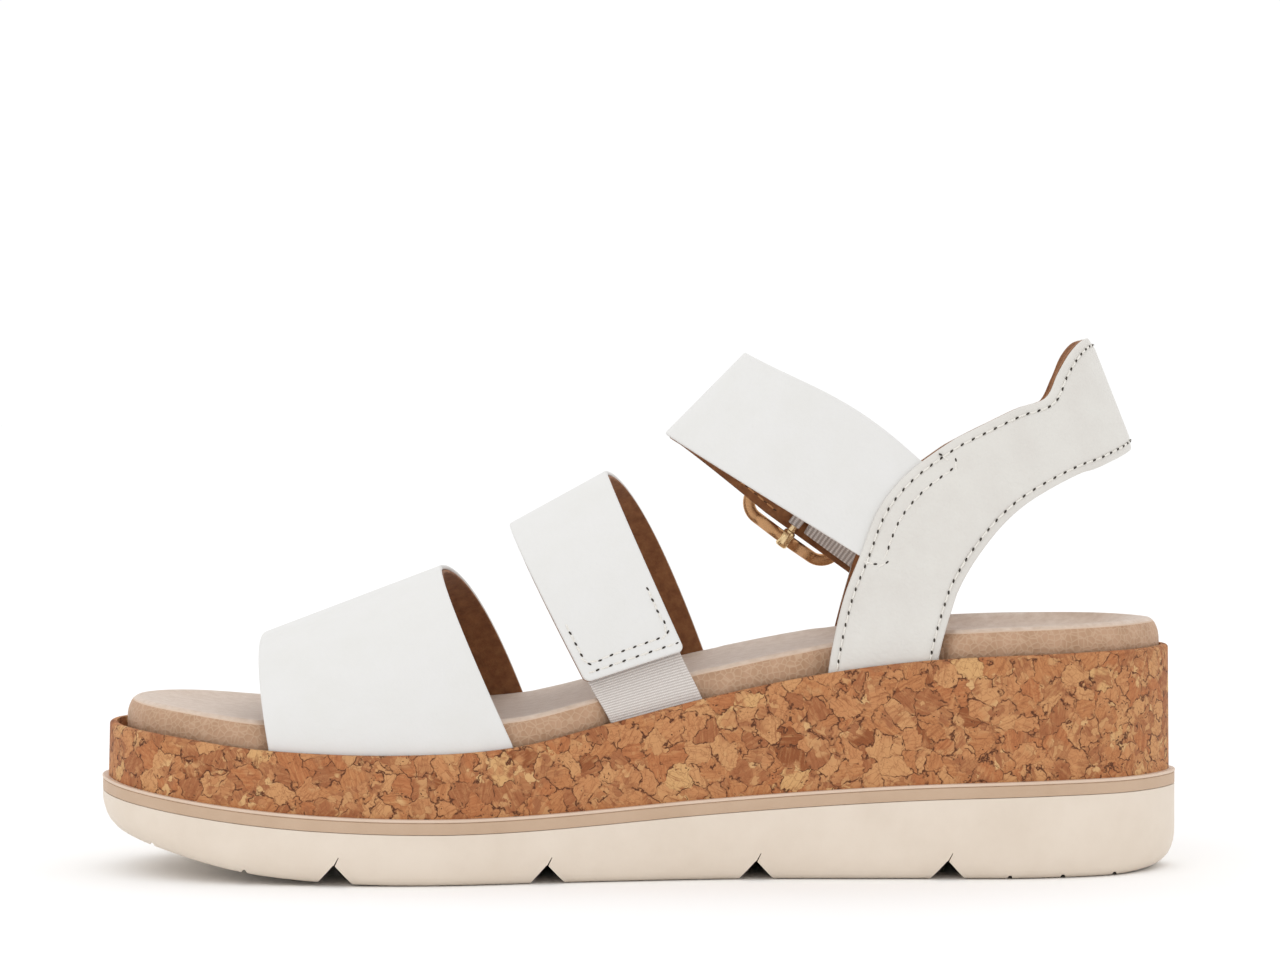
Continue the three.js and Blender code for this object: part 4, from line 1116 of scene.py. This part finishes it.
def cork_finish():
    """Pressed cork: chips of many tones, broken dark cracks, crumbs and clusters of dark specks."""
    material, tree, bsdf = shader("pressed_cork", "B9815A", 0.8, Specular_IOR_Level=0.3)
    place = millimetres(tree)
    wander = node(tree, "ShaderNodeTexNoise", {"Vector": place, "Scale": 0.33, "Detail": 3}).outputs["Color"]
    centred = node(tree, "ShaderNodeVectorMath", {0: wander, 1: (0.5, 0.5, 0.5)}, operation="SUBTRACT").outputs[0]
    drift = node(tree, "ShaderNodeVectorMath", {0: centred, "Scale": 5.0}, operation="SCALE").outputs[0]
    bent = node(tree, "ShaderNodeVectorMath", {0: place, 1: drift}, operation="ADD").outputs[0]
    chip = cells(tree, bent, CHIP)

    def random_part(grains, index):
        return node(tree, "ShaderNodeSeparateColor", {"Color": grains.outputs["Color"]}).outputs[index]

    def toned(grains, stops):
        ramp = node(tree, "ShaderNodeValToRGB", {"Fac": random_part(grains, 0)})
        ramp.color_ramp.interpolation = "CONSTANT"
        while len(ramp.color_ramp.elements) < len(stops):
            ramp.color_ramp.elements.new(0.5)
        for element, (at, code) in zip(ramp.color_ramp.elements, stops):
            element.position, element.color = at, hexed(code)
        return ramp.outputs[0]

    crumbly = patches(tree, place, 6, 2, 0.5, 0.58)
    colour = blend_colours(tree, crumbly, toned(chip, CHIP_TONES), toned(cells(tree, bent, CRUMB), CRUMB_TONES))
    angle = times(tree, random_part(chip, 1), 2 * np.pi)
    turned = node(tree, "ShaderNodeVectorRotate", {"Vector": place, "Axis": (0, 1, 0), "Angle": angle}).outputs[0]
    fibres = node(tree, "ShaderNodeMapping", {"Vector": turned, "Scale": (0.35, 1, 2.6)}).outputs[0]
    grain = noise(tree, fibres, 1.5, 4, 0.65)
    colour = blend_colours(tree, remap(tree, grain, 0.5, 0.72, 0, 0.5), colour, "CD9B68")
    colour = blend_colours(tree, remap(tree, grain, 0.46, 0.26, 0, 0.85), colour, "884F2E")
    chip_edge, crumb_edge = (cells(tree, bent, size, "DISTANCE_TO_EDGE").outputs["Distance"]
                             for size in (CHIP, CRUMB))
    cracks = times(tree, remap(tree, chip_edge, 0.01, 0.045, 1, 0), patches(tree, place, 2.2, 3, 0.43, 0.53))
    colour = blend_colours(tree, remap(tree, crumb_edge, 0.0, 0.06, 0.45, 0), colour, "7F4829")
    colour = blend_colours(tree, cracks, colour, "57301C")
    flecks = remap(tree, cells(tree, bent, FLECK).outputs["Distance"], 0.18, 0.3, 1, 0)
    specks = times(tree, flecks, patches(tree, place, 3.4, 3, 0.57, 0.63))
    paint(tree, bsdf, specks, colour, "4E2C1B")
    raise_grain(tree, bsdf, remap(tree, chip_edge, 0, 0.08, 0, 1), 0.12, 0.7)
    raise_grain(tree, bsdf, remap(tree, crumb_edge, 0, 0.12, 0, 1), 0.05, 0.5)
    raise_grain(tree, bsdf, remap(tree, specks, 0, 1, 1, 0), 0.15, 0.8)
    raise_grain(tree, bsdf, noise(tree, place, 0.5, 4, 0.7), 0.06, 0.7)
    return material


def knit_finish(name, light, dark, rib_pitch, thread_pitch):
    """Woven elastic: ribs with painted shade down their valleys, and fine cross threads, read from the sheet's own
    UV map.
    """
    material, tree, bsdf = shader(name, light, 0.9, Sheen_Weight=0.2)
    sheet_place = node(tree, "ShaderNodeUVMap", uv_map="Flat").outputs[0]

    def bands(pitch, direction, wobble):
        scale = 2 * np.pi / (20 * pitch * MM)
        return node(tree, "ShaderNodeTexWave", {"Vector": sheet_place, "Scale": scale, "Distortion": wobble,
                                                "Detail": 1}, bands_direction=direction).outputs["Fac"]

    threads = bands(thread_pitch, "Y", 0.8)
    rib_shade_and_threads = times(tree, bands(rib_pitch, "X", 0.4), remap(tree, threads, 0, 1, 0.6, 1))
    shade = times(tree, rib_shade_and_threads, remap(tree, noise(tree, millimetres(tree), 0.9, 3), 0.3, 0.7, 0.75, 1))
    # Painted shade: the rib valleys are coloured darker; the cross threads and mottling are the knit's own.
    paint(tree, bsdf, remap(tree, shade, 0.1, 0.75, 1, 0), light, dark)
    raise_grain(tree, bsdf, threads, 0.05, 0.6)
    return material


def metal_finish(name, light, dark, roughness):
    """Plated bronze with faint brushing and handling marks."""
    material, tree, bsdf = shader(name, light, roughness, Metallic=1.0)
    place = millimetres(tree)
    paint(tree, bsdf, patches(tree, place, 4, 5), light, dark)
    uneven_gloss(tree, bsdf, noise(tree, millimetres(tree, (1, 6, 6)), 1.2, 4), roughness - 0.08, roughness + 0.12)
    raise_grain(tree, bsdf, noise(tree, place, 0.6, 3), 0.006, 0.4)
    return material


def thread_finish(name, light, dark):
    """Twisted thread."""
    material, tree, bsdf = shader(name, light, 0.75, Sheen_Weight=0.2)
    twist = noise(tree, millimetres(tree), 0.25, 3)
    paint(tree, bsdf, remap(tree, twist, 0.35, 0.65, 0, 1), light, dark)
    raise_grain(tree, bsdf, twist, 0.05, 0.8)
    return material


finish = {
    "rubber": rubber_finish("outsole_rubber", "E1D4C5", "DBCDBD", 0.5),
    "band": rubber_finish("welt_rubber", "C6AB92", "BEA288", 0.55),
    # The lip's lighter colour is a painted highlight along the welt band's top edge.
    "lip": rubber_finish("welt_lip_painted_highlight", "DAC4B1", "D3BBA6", 0.5),
    "cork": cork_finish(),
    "footbed_side": grained_side_finish(),
    # The top sheet's edge tone, a little lighter than the side as a painted highlight along the rounded rim.
    "footbed_edge": leather_finish("top_sheet_edge_and_painted_highlight", "D3BBA6", "C9AF99", 0.7),
    # The top sheet's own tone, lightened as painted sheen for the grazing reflection it takes.
    "suede": napped_finish("footbed_suede_and_painted_sheen", "D5C1B0", "C2A994", 0.4, roughness=0.6, sheen=0.3),
    "leather": leather_finish("white_leather", "DFDEDC", "DDDCD9", 0.5, coat=0.03),
    # A slightly darker, warmer copy of the white leather with coarser pebbles: the darker tone is painted shade for
    # the heel strap.
    "heel_leather_painted_shade": leather_finish("white_quarter_leather_painted_shade", "D9D6D0", "D4D0CA", 0.5, coat=0.03, pebble=0.16),
    "lining": napped_finish("tan_lining", "9E6C45", "7C4F2F", 0.4, sheen=0.1),
    "elastic": knit_finish("gusset_elastic", "E0DAD5", "BDB4AE", GUSSET_RIB, 0.4),
    "knit": knit_finish("buckle_elastic_knit", "DDD7D3", "A49B95", LOOP_RIB, 0.45),
    "bronze": metal_finish("stamped_bronze", "C1946A", "B88C63", 0.28),
    # A lighter copy of the bronze, set to the buckle's highlight tone: painted highlight on the bar and prong.
    "bright_bronze": metal_finish("polished_bronze_painted_highlight", "EBD0A4", "DDBF90", 0.24),
    "thread": thread_finish("white_thread", "EFECE6", "DAD5CC"),
    "tan_thread": thread_finish("tan_thread", "D9A46E", "C08A57"),
    # Dark blobs in the needle slits: painted shade of the needle holes.
    "slit": napped_finish("needle_slit_painted_shade", "40382F", "2F2822", 0.3, sheen=0),
    "foam": napped_finish("platform_foam", "E8DCC8", "DCCDB6", 1.5),
    "board": napped_finish("insole_board", "A98A63", "97794F", 0.8),
}


# ---- Assembly ----
def belongs(piece, body, slot, *nodes):
    """piece moves with that body and stands for those CAD nodes, which it hides. slot is not used."""
    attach(piece, body)
    if nodes:
        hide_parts(*nodes)
    return piece


def strap_pieces(name, point, ts, rows, face_depth, lining_depth, **grid_options):
    """A strap's leather and its lining, with a furrow along each row of stitches."""
    grid, run, edge = strap_grid(point, ts, **grid_options)
    outer, inner = face_depth
    leather = slab(name + "_leather", grid, run, edge, outer + furrow(grid, rows), inner, finish["leather"])
    outer, inner = lining_depth
    lining = slab(name + "_suede_lining", grid, run, edge, outer, inner, finish["lining"])
    return leather, lining


ROW_SPACING = 0.9
MID_CORNER = 1.6
TIP_CORNER = 6
LEATHER_DEPTH = (0, LEATHER)
LINING_DEPTH = (LEATHER + BOND, STRAP_THICKNESS)
stitches = stitch_tree()

belongs(make_outsole(), "sole", "outsole_rubber", "outsole")
belongs(make_welt(), "sole", "welt_rubber", "welt_band")
belongs(make_cork(), "sole", "cork", "cork_wrap")
footbed = belongs(make_footbed(), "sole", "microsuede", "footbed_cover", "footbed_foam")

# Toe strap
toe_rows = rows_between(toe_strap, -BURIED_END, 1 + BURIED_END, ROW_SPACING)
leather, lining = strap_pieces("toe_strap", toe_strap, toe_rows, [], LEATHER_DEPTH, LINING_DEPTH)
belongs(leather, "sole", "white_leather", "toe_strap_outer")
belongs(lining, "sole", "tan_lining", "toe_strap_lining")

# Middle strap: its medial end has rounded corners, two rows of stitches across and one up each side.
mid_rows = rows_between(mid_strap, MID_LEATHER_END, 1 + BURIED_END, ROW_SPACING, open_start=True)
mid_ts = np.linspace(MID_LEATHER_END, 0.5, 400)
mid_run = lengths(mid_strap(mid_ts, np.full(400, 0.5)))


def mid_t(distance):
    """t of the middle strap at that distance from its leather's medial end."""
    return np.interp(distance, mid_run, mid_ts)


def mid_row_across(distance, inset_share):
    return on_face(mid_strap, np.full(80, mid_t(distance)), np.linspace(inset_share, 1 - inset_share, 80))


LOW_ROW, HIGH_ROW, SIDE_ROW_TOP = 2.1, 4.4, 14.5  # distances from the leather's end
SIDE_ROW_INSET = 2.1
front_side = seam(mid_strap, 0, mid_t(np.linspace(SIDE_ROW_TOP, HIGH_ROW, 50)), SIDE_ROW_INSET)
rear_side = seam(mid_strap, 1, mid_t(np.linspace(HIGH_ROW, SIDE_ROW_TOP, 50)), SIDE_ROW_INSET)
high_row = mid_row_across(HIGH_ROW, 0.1)
mid_seam = [tuple(np.vstack(parts) for parts in zip(front_side, high_row, rear_side)),
            mid_row_across(LOW_ROW, 0.1)]
leather, lining = strap_pieces("mid_strap", mid_strap, mid_rows, [row[0] for row in mid_seam], LEATHER_DEPTH,
                               LINING_DEPTH, corner_start=MID_CORNER)
belongs(leather, "mid_strap", "white_leather", "mid_strap_outer")
belongs(lining, "mid_strap", "tan_lining", "mid_strap_lining")
belongs(sew("mid_strap_stitches", mid_seam, stitches, finish["thread"]), "mid_strap", "white_leather")


def make_mid_elastic():
    """A finely ribbed gusset with a selvedge line near each side."""
    ts = rows_between(mid_elastic, -BURIED_END, 0.11, 0.16)
    grid, run, edge = strap_grid(mid_elastic, ts, middle=24)
    depth = lerp(0.2, STRAP_THICKNESS + 2 * BOND, smoothstep(ts, 0.005, MID_LEATHER_END - 0.01))[:, None]
    side_edge = np.minimum(edge, 4)
    rib = ribs(run, GUSSET_RIB, 0.14, side_edge, 0.5)
    selvedge = 0.16 * np.exp(-((side_edge - 2.1) / 0.25) ** 2)
    return slab("mid_strap_gusset", grid, run, edge, depth + rib + selvedge, depth + ELASTIC_THICKNESS,
                finish["elastic"])


gusset = make_mid_elastic()
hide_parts("mid_strap_elastic")
gusset_low = mid_elastic(0.0, 0.5) * MM
gusset_high = mid_elastic(MID_LEATHER_END, 0.5) * MM
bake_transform(gusset)

# Heel strap: padded, with its leather and lining drawn together at the edges. A short inner row of stitches
# on each side turns out to the front edge's row at both of its ends.
SEAM_INSET = 2.0
INNER_ROW_INSET = 5.6
INNER_ROW_HEIGHTS = (73.6, 96.8)
DRAWN_IN = 0.55
heel_rows = rows_between(heel_strap, 0.0001, 0.9999, 1.1)
grid, run, edge = strap_grid(heel_strap, heel_rows, middle=22)
drawn = 1 - smoothstep(edge, 0, 3.2)
seam_ts = np.concatenate([np.linspace(0.04, 0.4999, 190), np.linspace(0.5001, 0.96, 190)])
heel_seams = [seam(heel_strap, border, seam_ts, SEAM_INSET) for border in (0, 1)]
guide_ts = np.linspace(0.03, 0.3, 80)
guide = seam(heel_strap, 0, guide_ts, INNER_ROW_INSET)[0][:, 2]
low_t, high_t = np.interp(INNER_ROW_HEIGHTS, guide, guide_ts)
for start, end in ((low_t, high_t), (1 - high_t, 1 - low_t)):
    ts = np.concatenate([np.full(8, start), np.linspace(start, end, 60), np.full(8, end)])
    turn = np.linspace(SEAM_INSET + 0.6, INNER_ROW_INSET, 8)
    insets = np.concatenate([turn, np.full(60, INNER_ROW_INSET), turn[::-1]])
    heel_seams.append(seam(heel_strap, 0, ts, insets))
leather = slab("heel_strap_leather", grid, run, edge, DRAWN_IN * drawn + furrow(grid, [s[0] for s in heel_seams]),
               LEATHER + DRAWN_IN * drawn, finish["heel_leather_painted_shade"])
lining_top = LEATHER + QUARTER_FILL - QUARTER_CORE * drawn
lining = slab("heel_strap_suede_lining", grid, run, edge, lining_top, lining_top + LINING, finish["lining"])
belongs(leather, "sole", "white_leather", "heel_strap_outer")
belongs(lining, "sole", "tan_lining", "heel_strap_lining")
grid, run, edge = strap_grid(heel_strap, heel_rows, middle=22, margin=3.4)
fill_from = LEATHER + (QUARTER_FILL - QUARTER_CORE) / 2
padding = slab("heel_strap_foam", grid, run, edge, fill_from, fill_from + QUARTER_CORE, finish["foam"])
belongs(padding, "sole", "foam", "heel_strap_padding")

# Instep strap: its medial end is pared to go inside the heel strap, and its tip has rounded corners.
TIP_AT = 1 + (BAR_REACH + TAIL_REACH) / HIDDEN
instep_rows, lined_rows = (rows_between(instep_strap, start, TIP_AT, ROW_SPACING, open_start=True, open_end=True)
                           for start in (-INSERT_REACH / HIDDEN, 0.024))
grid, run, edge = strap_grid(instep_strap, instep_rows, corner_end=TIP_CORNER)
pared = lerp(SKIVED, LEATHER, smoothstep(instep_rows, 0.018, 0.03))[:, None]
leather = slab("instep_strap_leather", grid, run, edge, 0, pared, finish["leather"])
grid, run, edge = strap_grid(instep_strap, lined_rows, corner_end=TIP_CORNER)
lining = slab("instep_strap_suede_lining", grid, run, edge, *LINING_DEPTH, finish["lining"])


def punches():
    """The prong's slot and two spare round holes, as cutters."""
    a = np.arange(28) / 28 * 2 * np.pi
    holes = [soft_box(SLOT_LENGTH, PRONG_WIDTH + PRONG_ROOM, 6, 28) + [0.9 - SLOT_LENGTH / 2, 0]]
    holes += [np.stack([x + HOLE_RADIUS * np.cos(a), HOLE_RADIUS * np.sin(a)], 1) for x in SPARE_HOLES]
    return [punch(hole, *PUNCHED) for hole in holes]


cut_away(leather, *punches(), sharp=50)
cut_away(lining, *punches(), sharp=50)
belongs(leather, "sole", "white_leather", "instep_strap_outer")
belongs(lining, "sole", "tan_lining", "instep_strap_lining")
lining_rows = [seam(instep_strap, border, np.linspace(0.52, 1.0, 120), SEAM_INSET, STRAP_THICKNESS, -1)
               for border in (0, 1)]
lining_stitches = sew("instep_lining_stitches", lining_rows, stitches, finish["tan_thread"], sunk=0.05,
                      **{"Slit Width": 0.0003})
belongs(lining_stitches, "sole", "tan_lining")
belongs(sew("heel_strap_stitches", heel_seams, stitches, finish["thread"]), "sole", "white_leather")

# Buckle
belongs(make_buckle_elastic(), "sole", "elastic", "buckle_elastic")
belongs(make_buckle_frame(), "buckle", "buckle_metal", "buckle_frame")
belongs(make_buckle_bar(), "buckle", "buckle_metal", "buckle_bar")
belongs(make_prong(), "prong", "buckle_metal", "buckle_prong")

for name, material in (("platform_core", "foam"), ("insole_board", "board")):
    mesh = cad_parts[name].data
    mesh.materials.clear()
    mesh.materials.append(finish[material])


# ---- Floor, light and camera ----
FLOOR_HALF = 4000
WORLD_STRENGTH = 1.03
LENS = 133.6
CAMERA_PLACE = (0.0004, -1.140, 0.136)
CAMERA_PITCH = 2.18  # degrees down from level


def soft_light(name, place, aim, size, watts):
    light = bpy.data.lights.new(name, "AREA")
    light.shape = "RECTANGLE"
    light.size, light.size_y = size
    light.energy = watts
    lamp = put(name, light)
    lamp.location = place
    lamp.rotation_euler = (Vector(aim) - Vector(place)).to_track_quat("-Z", "Y").to_euler()


def make_floor():
    corners = [[x * FLOOR_HALF, y * FLOOR_HALF, 0] for x, y in ((-1, -1), (1, -1), (1, 1), (-1, 1))]
    piece = make_mesh("floor", corners, [[0, 1, 2, 3]], [shader("pale_floor", "FDFDFD", 0.95)[0]])
    piece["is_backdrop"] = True


make_floor()
world = bpy.data.worlds.new("studio")
world.use_nodes = True
world.node_tree.nodes["Background"].inputs["Color"].default_value = (1, 1, 1, 1)
world.node_tree.nodes["Background"].inputs["Strength"].default_value = WORLD_STRENGTH
bpy.context.scene.world = world
soft_light("key", (-0.9, -1.2, 1.5), (0, 0, 0.05), (1.4, 1.4), 3.5)
soft_light("top", (0.3, 0.5, 1.8), (0, 0, 0), (1.6, 1.6), 2.5)

camera_data = bpy.data.cameras.new("camera")
camera_data.lens = LENS
camera_data.sensor_width = 36
camera = put("camera", camera_data)
camera.location = CAMERA_PLACE
camera.rotation_euler = (np.radians(90 - CAMERA_PITCH), 0, 0)
bpy.context.scene.camera = camera
bpy.context.scene.view_settings.view_transform = "Standard"

[[list(corner) for corner in box] for box in (CAD_BOX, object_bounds())]
